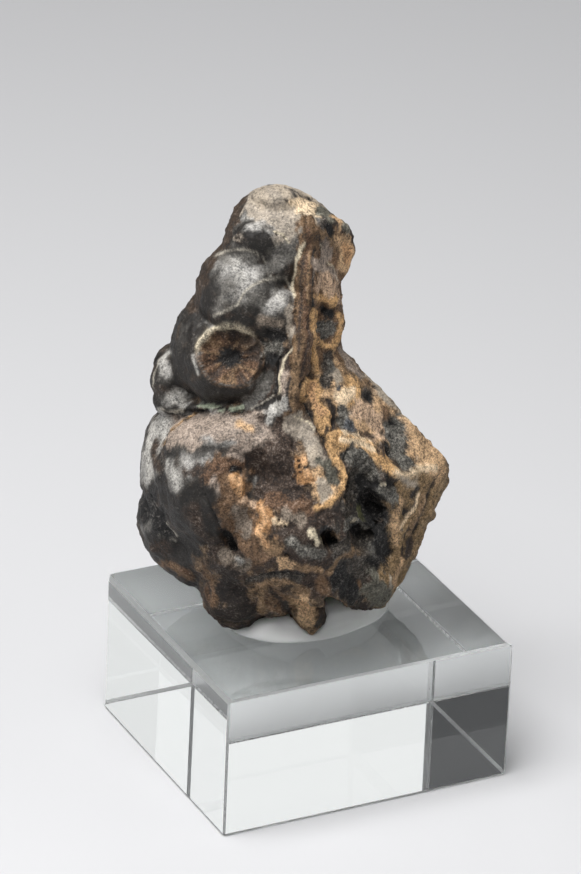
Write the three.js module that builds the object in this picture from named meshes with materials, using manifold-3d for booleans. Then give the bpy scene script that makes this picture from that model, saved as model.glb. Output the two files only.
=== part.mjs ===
// A cassiterite nodule held by a lump of clear mineral tack on a clear acrylic block.
// Millimetres, +Z up. The origin is the middle of the block's underside and the
// block's front face looks along -Y.
import * as THREE from 'three';
import { mergeVertices } from 'three/addons/utils/BufferGeometryUtils.js';
import Module from 'manifold-3d';

const wasm = await Module();
wasm.setup();

// Acrylic block
const BLOCK_WIDTH = 38.1;
const BLOCK_DEPTH = 34.9;
const BLOCK_HEIGHT = 18.3;
const BLOCK_CHAMFER = 0.5;

// Mineral tack between the block and the nodule: how high it stands, how far it is kept off
// the block and the nodule, and its reach from its middle at each angle, counted
// anticlockwise from the right of the show face
const TACK_RISE = 4.6;
const TACK_LIFT = 0.05;
const TACK_GAP = 0.3;
const TACK_MIDDLE = [1.0, 0.4];
const TACK_REACH = [
  [0, 9.4], [18, 9.3], [40, 8.2], [65, 8.3], [90, 8.5], [115, 8.9], [140, 9.6], [165, 10.7],
  [190, 11.7], [212, 12.8], [223, 13.1], [245, 12.0], [262, 10.6], [283, 9.4], [311, 8.5],
  [342, 9.1],
];

// The nodule is laid out facing its show side: x runs across the face to the right,
// y runs up the face and z runs out of it. These angles place that face on the block.
const FACE_TURN = -27.5;
const FACE_NOD = 26.5;
const FACE_ROLL = 2.45;

// How finely the nodule's skin is divided, how often it is evened out, and the two ends of
// the line through the nodule's middle
const SKIN_STEPS = 19;
const SKIN_ROUNDS = 8;
const CORE_LOW = [0.0, 26.5, 0.5];
const CORE_HIGH = [-2.0, 57.0, -1.5];

// Lumps of the nodule. Each row is a name, then the middle (across, up the face, and how far
// it stands in front of the block's middle), the three radii, the turn in degrees and how
// softly it runs into its neighbours.
const UPPER_LUMPS = [
  ["column", [-1.8, 52.5, -2.0], [6.6, 13.5, 8.6], 3, 2.5],
  ["crown", [-1.5, 60.7, -1.5], [7.0, 5.1, 6.4], -31, 1.2],
  ["crown_left", [-5.1, 60.0, -0.5], [4.1, 5.7, 5.2], -20, 1.2],
  ["crown_peak", [-2.8, 64.5, -1.0], [3.2, 1.9, 4.0], -10, 1.2],
  ["crown_right", [3.5, 58.8, -1.0], [3.1, 3.9, 4.4], 8, 1.2],
  ["bead", [-4.9, 60.2, 3.6], [2.7, 1.8, 2.1], -8, 1.2],
  ["bead_foot", [-4.6, 59.2, 1.7], [4.4, 1.4, 3.0], 4, 1.2],
  ["upper_dome", [-6.5, 54.0, 0.9], [6.0, 6.4, 6.8], -24, 1.2],
  ["facet", [-2.4, 57.3, 2.4], [2.4, 3.0, 3.1], -30, 1.2],
  ["right_dome", [-3.2, 51.6, 3.4], [4.3, 3.6, 4.6], 8, 1.2],
  ["eye_back", [-9.8, 48.6, 0.4], [5.4, 7.2, 6.6], -28, 1.2],
  ["eye_bulb", [-8.7, 46.4, 3.3], [5.7, 5.9, 6.1], 0, 1.2],
  ["dark_lump", [-2.8, 47.3, 4.2], [2.4, 3.4, 3.6], 0, 1.2],
];
const RIDGE_LUMPS = [
  ["ridge_top", [0.6, 56.6, 3.2], [1.5, 5.0, 2.6], 4, 1.2],
  ["ridge_middle", [0.0, 50.4, 5.2], [1.7, 6.8, 2.9], -3, 1.2],
  ["ridge_low", [-1.4, 43.6, 6.7], [1.9, 5.4, 2.9], -6, 1.2],
];
const LOWER_LUMPS = [
  ["middle", [-3.0, 39.0, 0.5], [11.5, 11.0, 10.0], 0, 2.0],
  ["lower", [-3.0, 28.5, 1.5], [14.5, 11.0, 11.0], -8, 2.5],
  ["front", [-0.5, 29.0, 5.0], [10.0, 10.4, 10.0], 0, 2.0],
  ["foot", [-1.0, 22.8, 3.6], [10.0, 5.4, 8.4], 0, 2.0],
  ["left_bead", [-15.4, 44.6, 0.2], [2.4, 3.6, 3.6], -14, 1.4],
  ["left_wedge", [-14.5, 41.3, 1.4], [3.2, 2.1, 3.2], 0, 1.4],
  ["gray_wedge", [-4.9, 42.6, 4.6], [3.2, 3.6, 3.4], -35, 1.4],
  ["ledge", [-9.8, 39.8, 3.0], [4.4, 1.8, 5.0], 0, 2.0],
  ["rib_low", [-3.7, 38.8, 7.4], [1.4, 2.4, 2.6], -35, 1.4],
  ["knee", [-10.2, 32.2, 4.8], [7.4, 8.4, 9.6], -6, 1.4],
  ["knee_top", [-8.4, 36.4, 5.4], [7.8, 3.8, 7.2], 4, 1.4],
  ["left_band", [-15.2, 34.8, 0.6], [3.9, 7.4, 6.4], -12, 1.4],
  ["left_low", [-15.0, 28.2, 1.2], [4.5, 6.4, 6.8], -10, 1.4],
  ["left_chin", [-12.6, 23.6, 2.2], [6.0, 4.4, 6.4], -24, 1.4],
  ["front_low", [-7.2, 24.6, 4.8], [6.8, 6.0, 8.2], 0, 1.4],
  ["left_lobe", [-8.0, 19.3, 5.4], [4.2, 5.3, 5.4], 0, 1.4],
  ["middle_lobe", [-3.4, 20.2, 5.2], [4.8, 4.8, 5.6], 0, 1.4],
  ["knob", [0.5, 18.1, 6.4], [2.4, 4.7, 3.6], 10, 1.4],
  ["right_lobe", [7.2, 21.0, 3.6], [4.1, 4.6, 5.6], 0, 1.4],
  ["tan_boss", [1.0, 33.4, 7.4], [3.8, 5.4, 5.6], 12, 1.4],
  ["fibre_boss", [-2.6, 35.4, 7.2], [3.4, 4.0, 5.6], 20, 1.4],
  ["brow", [1.2, 38.0, 4.8], [3.0, 5.4, 5.0], 24, 1.4],
];
const BACK_LUMPS = [
  ["back_crown", [-1.5, 57.5, -6.5], [5.5, 5.0, 4.5], 0, 3.0],
  ["back_column", [-3.5, 50.0, -7.0], [6.5, 7.5, 5.5], 0, 3.0],
  ["back_left", [-10.3, 39.6, -6.0], [6.2, 6.2, 6.0], 0, 3.0],
  ["back_middle", [-1.5, 40.5, -8.6], [7.0, 6.0, 5.5], 0, 3.0],
  ["back_right", [6.5, 36.0, -7.0], [6.0, 6.5, 6.0], 0, 3.0],
  ["back_low_left", [-10.0, 30.5, -7.0], [7.0, 6.5, 6.5], 0, 3.0],
  ["back_low", [-1.0, 30.5, -9.0], [8.0, 6.5, 6.0], 0, 3.0],
  ["back_low_right", [7.6, 27.5, -5.5], [6.0, 7.0, 6.5], 0, 3.0],
];

// Pits and grooves, in the same form; the last number is how soft their rim is.
const HOLLOWS = [
  ["eye", [-8.35, 46.2, 8.9], [3.9, 3.6, 2.0], -20, 0.5],
  ["dark_hollow", [7.8, 28.4, 10.8], [3.2, 6.4, 3.0], 5, 1.0],
  ["cavity", [2.5, 50.2, 4.6], [1.7, 2.8, 2.0], 0, 0.6],
  ["vug", [12.0, 36.2, 3.6], [2.8, 3.4, 1.2], 20, 0.6],
  ["step", [-2.8, 29.6, 17.4], [8.4, 6.2, 3.4], -12, 0.6],
];

// Flat broken faces of the right-hand wing, each through three points
const WING_FACES = [
  [[4.4, 48.0, -0.5], [9.4, 33.2, 6.6], [18.0, 34.0, -2.0]],
  [[18.0, 33.5, -2.0], [9.9, 32.1, 6.8], [10.6, 17.6, 4.8]],
  [[4.4, 48.0, -0.5], [18.0, 33.6, -2.0], [9.0, 40.0, -9.0]],
  [[18.0, 33.4, -2.0], [14.2, 23.8, -1.0], [18.0, 33.4, 3.0]],
  [[13.5, 22.2, 0.0], [9.7, 16.8, 3.5], [12.9, 23.2, -6.0]],
  [[9.8, 16.6, 4.0], [-4.0, 21.4, 6.0], [10.0, 20.0, -6.0]],
];
const WING_MIDDLE = [5.0, 31.0, -1.0];
const WING_RADII = [15.5, 19.0, 13.5];
const WING_TURN = -20;
const WING_EDGE = 1.0;
const WING_JOIN = 1.0;
const WING_INSIDE = [3.0, 32.0, 0.0];

// The upper part is broken off along this face, to the right of the ridge.
const BREAK_FACE = [[0.6, 58.5, 4.6], [-1.6, 41.3, 8.6], [5.0, 52.0, -0.5]];
const BREAK_INSIDE = [-5.0, 50.0, 0.0];
const BREAK_EDGE = 0.5;
const BREAK_WAVE = 0.35;

// How softly the upper part runs into the lower one
const WAIST_JOIN = 3.2;

// Uneven skin: the waves' directions per millimetre, and where each one starts
const ROUGH_HEIGHT = 0.3;
const ROUGH_WAVES = [
  [0.9, 0.3, 0.5, 0.3], [-0.4, 1.1, 0.2, 1.7], [0.5, -0.6, 0.9, 4.1], [-0.8, -0.5, 0.7, 2.6],
  [1.5, 0.9, -0.6, 0.9], [-1.1, 1.4, 0.9, 5.2], [0.7, -1.6, 1.2, 3.3], [1.8, 0.2, 1.4, 1.1],
];

const NOD_SIN = Math.sin(THREE.MathUtils.degToRad(FACE_NOD));
const NOD_COS = Math.cos(THREE.MathUtils.degToRad(FACE_NOD));
const ROLL_SIN = Math.sin(THREE.MathUtils.degToRad(FACE_ROLL));

// A point given as across, up the face and in front of the block's middle
function seen([across, rise, forward]) {
  const level = forward + (across * ROLL_SIN + rise) * NOD_SIN;
  return new THREE.Vector3(across, rise, level / NOD_COS);
}

// Distance to an ellipsoid turned in the plane of the show face
function lump(middle, radii, turn) {
  const c = seen(middle);
  const cos = Math.cos(THREE.MathUtils.degToRad(turn));
  const sin = Math.sin(THREE.MathUtils.degToRad(turn));
  const [rx2, ry2, rz2] = radii.map((r) => r * r);
  return (x, y, z) => {
    const a = (x - c.x) * cos + (y - c.y) * sin;
    const b = (y - c.y) * cos - (x - c.x) * sin;
    const w = z - c.z;
    const near = a * a / rx2 + b * b / ry2 + w * w / rz2 + 1e-12;
    const steep = a * a / rx2 ** 2 + b * b / ry2 ** 2 + w * w / rz2 ** 2 + 1e-12;
    return (near - Math.sqrt(near)) / Math.sqrt(steep);
  };
}

// Distance to the plane through three points, negative on the side of the inner point
function face(points, inner) {
  const plane = new THREE.Plane().setFromCoplanarPoints(...points.map(seen));
  if (plane.distanceToPoint(seen(inner)) > 0) plane.negate();
  const n = plane.normal;
  return (x, y, z) => n.x * x + n.y * y + n.z * z + plane.constant;
}

function softMin(a, b, soft) {
  const h = Math.min(1, Math.max(0, 0.5 + 0.5 * (b - a) / soft));
  return b + (a - b) * h - soft * h * (1 - h);
}

function softMax(a, b, soft) {
  return -softMin(-a, -b, soft);
}

function rows(table) {
  return table.map(([, middle, radii, turn, soft]) => [lump(middle, radii, turn), soft]);
}

function roughness(x, y, z) {
  let sum = 0;
  for (const [a, b, c, start] of ROUGH_WAVES) {
    const sway = 0.8 * Math.sin(y * 0.7 + x * 0.4 + start);
    sum += Math.sin(x * a + y * b + z * c + start + sway) / Math.sqrt(a * a + b * b + c * c);
  }
  return sum / 3;
}

const upper = rows(UPPER_LUMPS);
const ridge = rows(RIDGE_LUMPS);
const lower = rows(LOWER_LUMPS);
const back = rows(BACK_LUMPS);
const hollows = rows(HOLLOWS);
const wingFaces = WING_FACES.map((points) => face(points, WING_INSIDE));
const wingBulk = lump(WING_MIDDLE, WING_RADII, WING_TURN);
const breakFace = face(BREAK_FACE, BREAK_INSIDE);

// Signed distance to the nodule's skin, negative inside
function nodule(x, y, z) {
  let top = upper[0][0](x, y, z);
  for (const [part, soft] of upper.slice(1)) top = softMin(top, part(x, y, z), soft);
  const broken = breakFace(x, y, z) + BREAK_WAVE * Math.sin(y * 0.55 + 1.0);
  top = softMax(top, broken, BREAK_EDGE);
  for (const [part, soft] of ridge) top = softMin(top, part(x, y, z), soft);

  let low = lower[0][0](x, y, z);
  for (const [part, soft] of lower.slice(1)) low = softMin(low, part(x, y, z), soft);
  let wing = wingBulk(x, y, z);
  for (const side of wingFaces) wing = softMax(wing, side(x, y, z), WING_EDGE);
  low = softMin(low, wing, WING_JOIN);

  let skin = softMin(low, top, WAIST_JOIN);
  for (const [part, soft] of back) skin = softMin(skin, part(x, y, z), soft);
  for (const [part, soft] of hollows) skin = softMax(skin, -part(x, y, z), soft);
  return skin + ROUGH_HEIGHT * roughness(x, y, z);
}

// Moves a point to where the skin stands `out` mm away from the nodule, and keeps the slope
function settle(p, out, times, slope) {
  const h = 0.03;
  for (let i = 0; i < times; i += 1) {
    const here = nodule(p.x, p.y, p.z);
    slope.set(
      nodule(p.x + h, p.y, p.z) - here,
      nodule(p.x, p.y + h, p.z) - here,
      nodule(p.x, p.y, p.z + h) - here,
    ).divideScalar(h);
    const step = (here - out) / Math.max(slope.lengthSq(), 0.3);
    p.addScaledVector(slope, -THREE.MathUtils.clamp(step, -0.4, 0.4));
  }
  slope.normalize();
}

// A closed skin `out` mm outside the nodule: a ball's points are sent out from a line through
// the middle until they meet it, then evened out along it.
function skinGeometry(out) {
  const ball = new THREE.IcosahedronGeometry(1, SKIN_STEPS);
  ball.deleteAttribute('normal');
  ball.deleteAttribute('uv');
  const skin = mergeVertices(ball, 1e-5);
  const place = skin.attributes.position;
  const neighbours = Array.from({ length: place.count }, () => new Set());
  const index = skin.index.array;
  for (let i = 0; i < index.length; i += 3) {
    for (let k = 0; k < 3; k += 1) {
      neighbours[index[i + k]].add(index[i + (k + 1) % 3]);
      neighbours[index[i + k]].add(index[i + (k + 2) % 3]);
    }
  }

  const low = seen(CORE_LOW);
  const high = seen(CORE_HIGH);
  const aim = new THREE.Vector3();
  const from = new THREE.Vector3();
  const points = [];
  for (let i = 0; i < place.count; i += 1) {
    aim.fromBufferAttribute(place, i).normalize();
    from.lerpVectors(low, high, (aim.y + 1) / 2);
    let near = 0;
    let far = 0;
    const p = from.clone();
    while (nodule(p.x, p.y, p.z) < out) {
      near = far;
      far += 0.5;
      p.copy(from).addScaledVector(aim, far);
    }
    for (let k = 0; k < 12; k += 1) {
      const mid = (near + far) / 2;
      p.copy(from).addScaledVector(aim, mid);
      if (nodule(p.x, p.y, p.z) < out) near = mid;
      else far = mid;
    }
    points.push(p);
  }

  const slopes = points.map(() => new THREE.Vector3());
  const even = (share) => {
    const shifts = points.map((point, i) => {
      const shift = new THREE.Vector3();
      for (const j of neighbours[i]) shift.add(points[j]);
      shift.divideScalar(neighbours[i].size).sub(point);
      shift.addScaledVector(slopes[i], -shift.dot(slopes[i]));
      return shift.multiplyScalar(share);
    });
    shifts.forEach((shift, i) => points[i].add(shift));
  };
  for (let round = 0; round < SKIN_ROUNDS; round += 1) {
    points.forEach((point, i) => settle(point, out, 1, slopes[i]));
    even(0.6);
  }
  points.forEach((point, i) => settle(point, out, 2, slopes[i]));
  points.forEach((point, i) => place.setXYZ(i, point.x, point.y, point.z));
  return skin;
}

// Turns the show face's frame into the block's frame
function placeOnBlock(geometry) {
  const turn = THREE.MathUtils.degToRad(FACE_TURN);
  const roll = THREE.MathUtils.degToRad(FACE_ROLL);
  const right = new THREE.Vector3(Math.cos(turn), Math.sin(turn), 0);
  const out = new THREE.Vector3(Math.sin(turn) * NOD_COS, -Math.cos(turn) * NOD_COS, NOD_SIN);
  const up = new THREE.Vector3().crossVectors(out, right);
  const across = right.clone().multiplyScalar(Math.cos(roll)).addScaledVector(up, Math.sin(roll));
  const rise = up.clone().multiplyScalar(Math.cos(roll)).addScaledVector(right, -Math.sin(roll));
  return geometry.applyMatrix4(new THREE.Matrix4().makeBasis(across, rise, out));
}

function toSolid(geometry) {
  const bare = geometry.clone();
  bare.deleteAttribute('normal');
  bare.deleteAttribute('uv');
  const joined = mergeVertices(bare, 1e-5);
  return new wasm.Manifold(new wasm.Mesh({
    numProp: 3,
    vertProperties: new Float32Array(joined.attributes.position.array),
    triVerts: new Uint32Array(joined.index.array),
  }));
}

function toGeometry(solid) {
  const mesh = solid.getMesh();
  const geometry = new THREE.BufferGeometry();
  geometry.setAttribute('position', new THREE.BufferAttribute(mesh.vertProperties, 3));
  geometry.setIndex(new THREE.BufferAttribute(mesh.triVerts, 1));
  return geometry;
}

// Block: a box with every edge chamfered, standing on z = 0
function blockGeometry() {
  const c = BLOCK_CHAMFER;
  const shape = new THREE.Shape();
  const w = BLOCK_WIDTH / 2 - c;
  const d = BLOCK_DEPTH / 2 - c;
  shape.moveTo(-w, -d - c);
  shape.lineTo(w, -d - c);
  shape.lineTo(w + c, -d);
  shape.lineTo(w + c, d);
  shape.lineTo(w, d + c);
  shape.lineTo(-w, d + c);
  shape.lineTo(-w - c, d);
  shape.lineTo(-w - c, -d);
  shape.closePath();
  const block = new THREE.ExtrudeGeometry(shape, {
    depth: BLOCK_HEIGHT - 2 * c,
    bevelEnabled: true,
    bevelThickness: c,
    bevelSize: c,
    bevelOffset: -c,
    bevelSegments: 1,
    curveSegments: 1,
  });
  return block.translate(0, 0, c);
}

// Reach of the tack from its middle at an angle, in mm, run smoothly through the table
function tackReach(angle) {
  const turn = (THREE.MathUtils.radToDeg(angle) + 720) % 360;
  const table = [...TACK_REACH, [360, TACK_REACH[0][1]]];
  const i = table.findIndex(([a], k) => a <= turn && turn < table[k + 1][0]);
  const [a0, r0] = table[i];
  const [a1, r1] = table[i + 1];
  const t = (turn - a0) / (a1 - a0);
  return r0 + (r1 - r0) * t * t * (3 - 2 * t);
}

// Tack: a low cushion with a rounded edge, before the nodule is pressed into it
function cushionGeometry() {
  const outline = [
    [0, 0], [0.94, 0], [0.985, 0.1], [1, 0.28], [0.985, 0.46], [0.94, 0.64],
    [0.86, 0.8], [0.74, 0.91], [0.55, 0.98], [0.3, 1], [0, 1],
  ].map(([r, z]) => new THREE.Vector2(r, z));
  const cushion = new THREE.LatheGeometry(outline, 56);
  cushion.rotateX(Math.PI / 2);
  const place = cushion.attributes.position;
  for (let i = 0; i < place.count; i += 1) {
    const x = place.getX(i);
    const y = place.getY(i);
    const angle = Math.atan2(y, x) - THREE.MathUtils.degToRad(FACE_TURN);
    const reach = Math.hypot(x, y) < 1e-6 ? 0 : tackReach(angle);
    place.setXYZ(
      i,
      TACK_MIDDLE[0] + x * reach,
      TACK_MIDDLE[1] + y * reach,
      BLOCK_HEIGHT + TACK_LIFT + place.getZ(i) * TACK_RISE,
    );
  }
  return cushion;
}

function largest(solid) {
  const parts = solid.decompose();
  return parts.reduce((best, part) => (part.volume() > best.volume() ? part : best));
}

const stoneMaterial = new THREE.MeshStandardMaterial({ color: 0x4a3a2c, roughness: 0.45 });
const tackMaterial = new THREE.MeshStandardMaterial({ color: 0xdfe6dc, roughness: 0.2 });
const acrylicMaterial = new THREE.MeshStandardMaterial({ color: 0xeef3f1, roughness: 0.05 });

const stone = new THREE.Mesh(placeOnBlock(skinGeometry(0)), stoneMaterial);
stone.name = 'cassiterite';

const pressed = toSolid(placeOnBlock(skinGeometry(TACK_GAP)));
const cushion = largest(toSolid(cushionGeometry()).subtract(pressed));
const tack = new THREE.Mesh(toGeometry(cushion), tackMaterial);
tack.name = 'mineral_tack';

const block = new THREE.Mesh(blockGeometry(), acrylicMaterial);
block.name = 'acrylic_block';

const group = new THREE.Group();
group.name = 'cassiterite_on_block';
group.add(stone, tack, block);

export default group;
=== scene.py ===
"""A cassiterite nodule pressed into clear mineral tack on a clear acrylic block.

The nodule and the tack are worked out in the frame of the nodule's show face, in millimetres:
x runs across the face to the right, y up it and z out of it. They are then turned into the
block's frame and scaled to metres.
"""
import math

import bpy
import numpy as np
from mathutils import Matrix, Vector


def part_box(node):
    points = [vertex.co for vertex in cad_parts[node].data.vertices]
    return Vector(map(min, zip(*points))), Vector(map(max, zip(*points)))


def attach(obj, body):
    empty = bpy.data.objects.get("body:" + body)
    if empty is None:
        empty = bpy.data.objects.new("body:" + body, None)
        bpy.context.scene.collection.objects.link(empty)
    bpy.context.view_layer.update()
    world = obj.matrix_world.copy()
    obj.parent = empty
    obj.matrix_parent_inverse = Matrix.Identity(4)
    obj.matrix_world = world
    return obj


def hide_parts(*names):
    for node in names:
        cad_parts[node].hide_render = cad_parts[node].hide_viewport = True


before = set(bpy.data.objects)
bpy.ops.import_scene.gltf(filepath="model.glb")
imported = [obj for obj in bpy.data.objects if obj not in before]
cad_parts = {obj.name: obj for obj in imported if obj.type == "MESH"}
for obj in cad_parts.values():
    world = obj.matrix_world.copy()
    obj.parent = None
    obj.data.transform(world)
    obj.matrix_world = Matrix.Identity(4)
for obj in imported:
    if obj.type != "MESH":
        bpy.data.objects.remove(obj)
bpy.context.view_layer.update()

MM = 0.001
SEED = 11

# How the show face lies on the block: turned about the vertical, nodding back, rolled
FACE_TURN = math.radians(-27.5)
FACE_NOD = math.radians(26.5)
FACE_ROLL = math.radians(2.45)
RIGHT = np.array([math.cos(FACE_TURN), math.sin(FACE_TURN), 0.0])
OUT = np.array([
    math.sin(FACE_TURN) * math.cos(FACE_NOD),
    -math.cos(FACE_TURN) * math.cos(FACE_NOD),
    math.sin(FACE_NOD),
])
UP = np.cross(OUT, RIGHT)
ACROSS = math.cos(FACE_ROLL) * RIGHT + math.sin(FACE_ROLL) * UP
RISE = math.cos(FACE_ROLL) * UP - math.sin(FACE_ROLL) * RIGHT
FACE_BASIS = np.array([ACROSS, RISE, OUT])

# Lumps of the nodule: name, middle (across, up the face, in front of the block's middle),
# radii, turn in degrees, softness of the join, and whether the skin there is glossy crust
UPPER_LUMPS = [
    ("column", (-1.8, 52.5, -2.0), (6.6, 13.5, 8.6), 3, 2.5, 0),
    ("crown", (-1.5, 60.7, -1.5), (7.0, 5.1, 6.4), -31, 1.0, 1),
    ("crown_left", (-5.1, 60.0, -0.5), (4.1, 5.7, 5.2), -20, 0.5, 1),
    ("crown_peak", (-2.8, 64.5, -1.0), (3.2, 1.9, 4.0), -10, 0.5, 1),
    ("crown_right", (3.5, 58.8, -1.0), (3.1, 3.9, 4.4), 8, 0.8, 0),
    ("bead", (-4.9, 60.2, 3.6), (2.7, 1.8, 2.1), -8, 0.7, 1),
    ("bead_foot", (-4.6, 59.2, 1.7), (4.4, 1.4, 3.0), 4, 0.6, 1),
    ("upper_dome", (-6.5, 54.0, 0.9), (6.0, 6.4, 6.8), -24, 0.35, 1),
    ("facet", (-2.4, 57.3, 2.4), (2.4, 3.0, 3.1), -30, 0.3, 1),
    ("right_dome", (-3.2, 51.6, 3.4), (4.3, 3.6, 4.6), 8, 0.3, 1),
    ("eye_back", (-9.8, 48.6, 0.4), (5.4, 7.2, 6.6), -28, 0.35, 1),
    ("eye_bulb", (-8.7, 46.4, 3.3), (5.7, 5.9, 6.1), 0, 0.35, 1),
    ("dark_lump", (-2.8, 47.3, 4.2), (2.4, 3.4, 3.6), 0, 0.35, 1),
]
RIDGE_LUMPS = [
    ("ridge_top", (0.5, 56.6, 3.1), (1.5, 5.0, 2.6), 4, 0.5, 0),
    ("ridge_middle", (0.0, 50.4, 4.9), (1.6, 6.8, 3.0), -3, 0.5, 0),
    ("ridge_low", (-1.3, 43.6, 6.6), (1.9, 5.6, 3.0), -6, 0.5, 0),
]
LOWER_LUMPS = [
    ("middle", (-3.0, 39.0, 0.5), (11.5, 11.0, 10.0), 0, 2.0, 0),
    ("lower", (-3.0, 28.5, 1.5), (14.5, 11.0, 11.0), -8, 2.5, 0),
    ("front", (-0.5, 29.0, 5.0), (10.0, 10.4, 10.0), 0, 2.0, 0),
    ("foot", (-1.0, 22.8, 3.6), (10.0, 5.4, 8.4), 0, 2.0, 0),
    ("left_bead", (-15.4, 44.6, 0.2), (2.4, 3.6, 3.6), -14, 0.35, 1),
    ("left_wedge", (-14.5, 41.3, 1.4), (3.2, 2.1, 3.2), 0, 0.35, 1),
    ("gray_wedge", (-4.9, 42.6, 4.6), (3.2, 3.6, 3.4), -35, 0.35, 1),
    ("ledge", (-9.8, 40.0, 3.0), (4.4, 1.6, 5.0), 0, 0.3, 1),
    ("rib_low", (-3.7, 38.8, 7.4), (1.4, 2.4, 2.6), -35, 0.5, 1),
    ("knee", (-10.2, 32.2, 4.8), (7.4, 8.4, 9.6), -6, 0.6, 1),
    ("knee_top", (-8.4, 36.4, 5.4), (7.8, 3.8, 7.2), 4, 0.9, 1),
    ("left_band", (-15.2, 34.8, 0.6), (3.9, 7.4, 6.4), -12, 0.35, 1),
    ("left_low", (-15.0, 28.2, 1.2), (4.5, 6.4, 6.8), -10, 0.4, 1),
    ("left_chin", (-12.6, 23.6, 2.2), (6.0, 4.4, 6.4), -24, 0.5, 1),
    ("front_low", (-7.2, 24.6, 4.8), (6.8, 6.0, 8.2), 0, 1.2, 0),
    ("left_lobe", (-8.0, 19.3, 5.4), (4.2, 5.3, 5.4), 0, 1.0, 0),
    ("middle_lobe", (-3.4, 20.2, 5.2), (4.8, 4.8, 5.6), 0, 1.2, 0),
    ("knob", (0.5, 18.1, 6.4), (2.4, 4.7, 3.6), 10, 0.5, 0),
    ("right_lobe", (7.2, 21.0, 3.6), (4.1, 4.6, 5.6), 0, 0.5, 0),
    ("tan_boss", (1.0, 33.4, 7.4), (3.8, 5.4, 5.6), 12, 1.2, 0),
    ("fibre_boss", (-2.6, 35.4, 7.2), (3.4, 4.0, 5.6), 20, 1.2, 0),
    ("brow", (1.2, 38.0, 4.8), (3.0, 5.4, 5.0), 24, 1.2, 0),
]
BACK_LUMPS = [
    ("back_crown", (-1.5, 57.5, -6.5), (5.5, 5.0, 4.5), 0, 0.6, 1),
    ("back_column", (-3.5, 50.0, -7.0), (6.5, 7.5, 5.5), 0, 0.6, 1),
    ("back_left", (-10.3, 39.6, -6.0), (6.2, 6.2, 6.0), 0, 0.6, 1),
    ("back_middle", (-1.5, 40.5, -8.6), (7.0, 6.0, 5.5), 0, 0.6, 1),
    ("back_right", (6.5, 36.0, -7.0), (6.0, 6.5, 6.0), 0, 0.8, 0),
    ("back_low_left", (-10.0, 30.5, -7.0), (7.0, 6.5, 6.5), 0, 0.6, 1),
    ("back_low", (-1.0, 30.5, -9.0), (8.0, 6.5, 6.0), 0, 0.6, 0),
    ("back_low_right", (7.6, 27.5, -5.5), (6.0, 7.0, 6.5), 0, 0.8, 0),
]

# Pits, cracks and broken-out places: name, middle, radii, turn and softness of the rim
HOLLOWS = [
    ("eye", (-8.35, 46.2, 8.45), (3.9, 3.6, 2.0), -20, 0.2),
    ("dark_hollow", (7.8, 28.4, 10.8), (3.2, 6.4, 3.0), 5, 0.6),
    ("dark_hole", (8.2, 28.6, 8.2), (1.4, 2.0, 2.6), 20, 0.4),
    ("dark_hole_low", (7.2, 24.8, 9.6), (1.5, 1.7, 1.8), 0, 0.4),
    ("grain_hole", (2.9, 25.1, 13.6), (1.1, 1.0, 1.8), -30, 0.3),
    ("slit", (-8.6, 24.4, 13.4), (0.6, 1.4, 1.8), 35, 0.3),
    ("cavity", (2.7, 50.2, 4.6), (1.5, 2.5, 2.2), 0, 0.3),
    ("vug", (12.0, 36.2, 3.6), (2.7, 3.3, 1.2), 20, 0.4),
    ("vug_low", (5.0, 38.8, 8.0), (1.8, 1.6, 1.4), 0, 0.5),
    ("step", (-2.8, 29.6, 17.4), (8.4, 6.2, 3.4), -12, 0.4),
    ("notch", (4.3, 15.6, 9.0), (1.4, 3.0, 12.0), 30, 0.3),
    ("under_eye", (-9.6, 41.0, 9.4), (3.6, 0.5, 2.4), 2, 0.3),
    ("left_crack", (-14.0, 39.8, 6.4), (3.4, 0.5, 2.6), -2, 0.3),
]

# Flat broken faces of the right-hand wing, each through three points. They cut its bulk, an
# ellipsoid, and all face away from the point inside
WING_FACES = [
    ((4.4, 48.0, -0.5), (9.4, 33.2, 6.6), (18.0, 34.0, -2.0)),
    ((18.0, 33.5, -2.0), (9.9, 32.1, 6.8), (10.6, 17.6, 4.8)),
    ((4.4, 48.0, -0.5), (18.0, 33.6, -2.0), (9.0, 40.0, -9.0)),
    ((18.0, 33.4, -2.0), (14.2, 23.8, -1.0), (18.0, 33.4, 3.0)),
    ((13.5, 22.2, 0.0), (9.7, 16.8, 3.5), (12.9, 23.2, -6.0)),
    ((9.8, 16.6, 4.0), (-4.0, 21.4, 6.0), (10.0, 20.0, -6.0)),
]
WING_BULK = ((5.0, 31.0, -1.0), (15.5, 19.0, 13.5), -20)
WING_EDGE = 0.6
WING_JOIN = 1.0
WING_INSIDE = (3.0, 32.0, 0.0)

# The face that the upper part is broken off along, to the right of the ridge, and the height
# and length of its waves
BREAK_FACE = ((0.6, 58.5, 4.6), (-1.6, 41.3, 8.6), (5.0, 52.0, -0.5))
BREAK_INSIDE = (-5.0, 50.0, 0.0)
BREAK_EDGE = 0.4
BREAK_WAVE = 0.35
BREAK_WAVE_TURN = 0.55
WAIST_JOIN = 0.7

# Slow unevenness of the skin: direction per millimetre and phase of each wave
ROUGH_HEIGHT = 0.18
ROUGH_WAVES = [
    (0.9, 0.3, 0.5, 0.3), (-0.4, 1.1, 0.2, 1.7), (0.5, -0.6, 0.9, 4.1), (-0.8, -0.5, 0.7, 2.6),
    (1.5, 0.9, -0.6, 0.9), (-1.1, 1.4, 0.9, 5.2), (0.7, -1.6, 1.2, 3.3), (1.8, 0.2, 1.4, 1.1),
]

# The skin is sent out from a line through the nodule's middle. It has this many cells along
# each side of a cube, and leans towards the show face so that its cells are finer there
CORE_LOW = (0.0, 26.5, 0.5)
CORE_HIGH = (-2.0, 57.0, -1.5)
SKIN_CELLS = 126
SKIN_LEAN = 0.35

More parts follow.
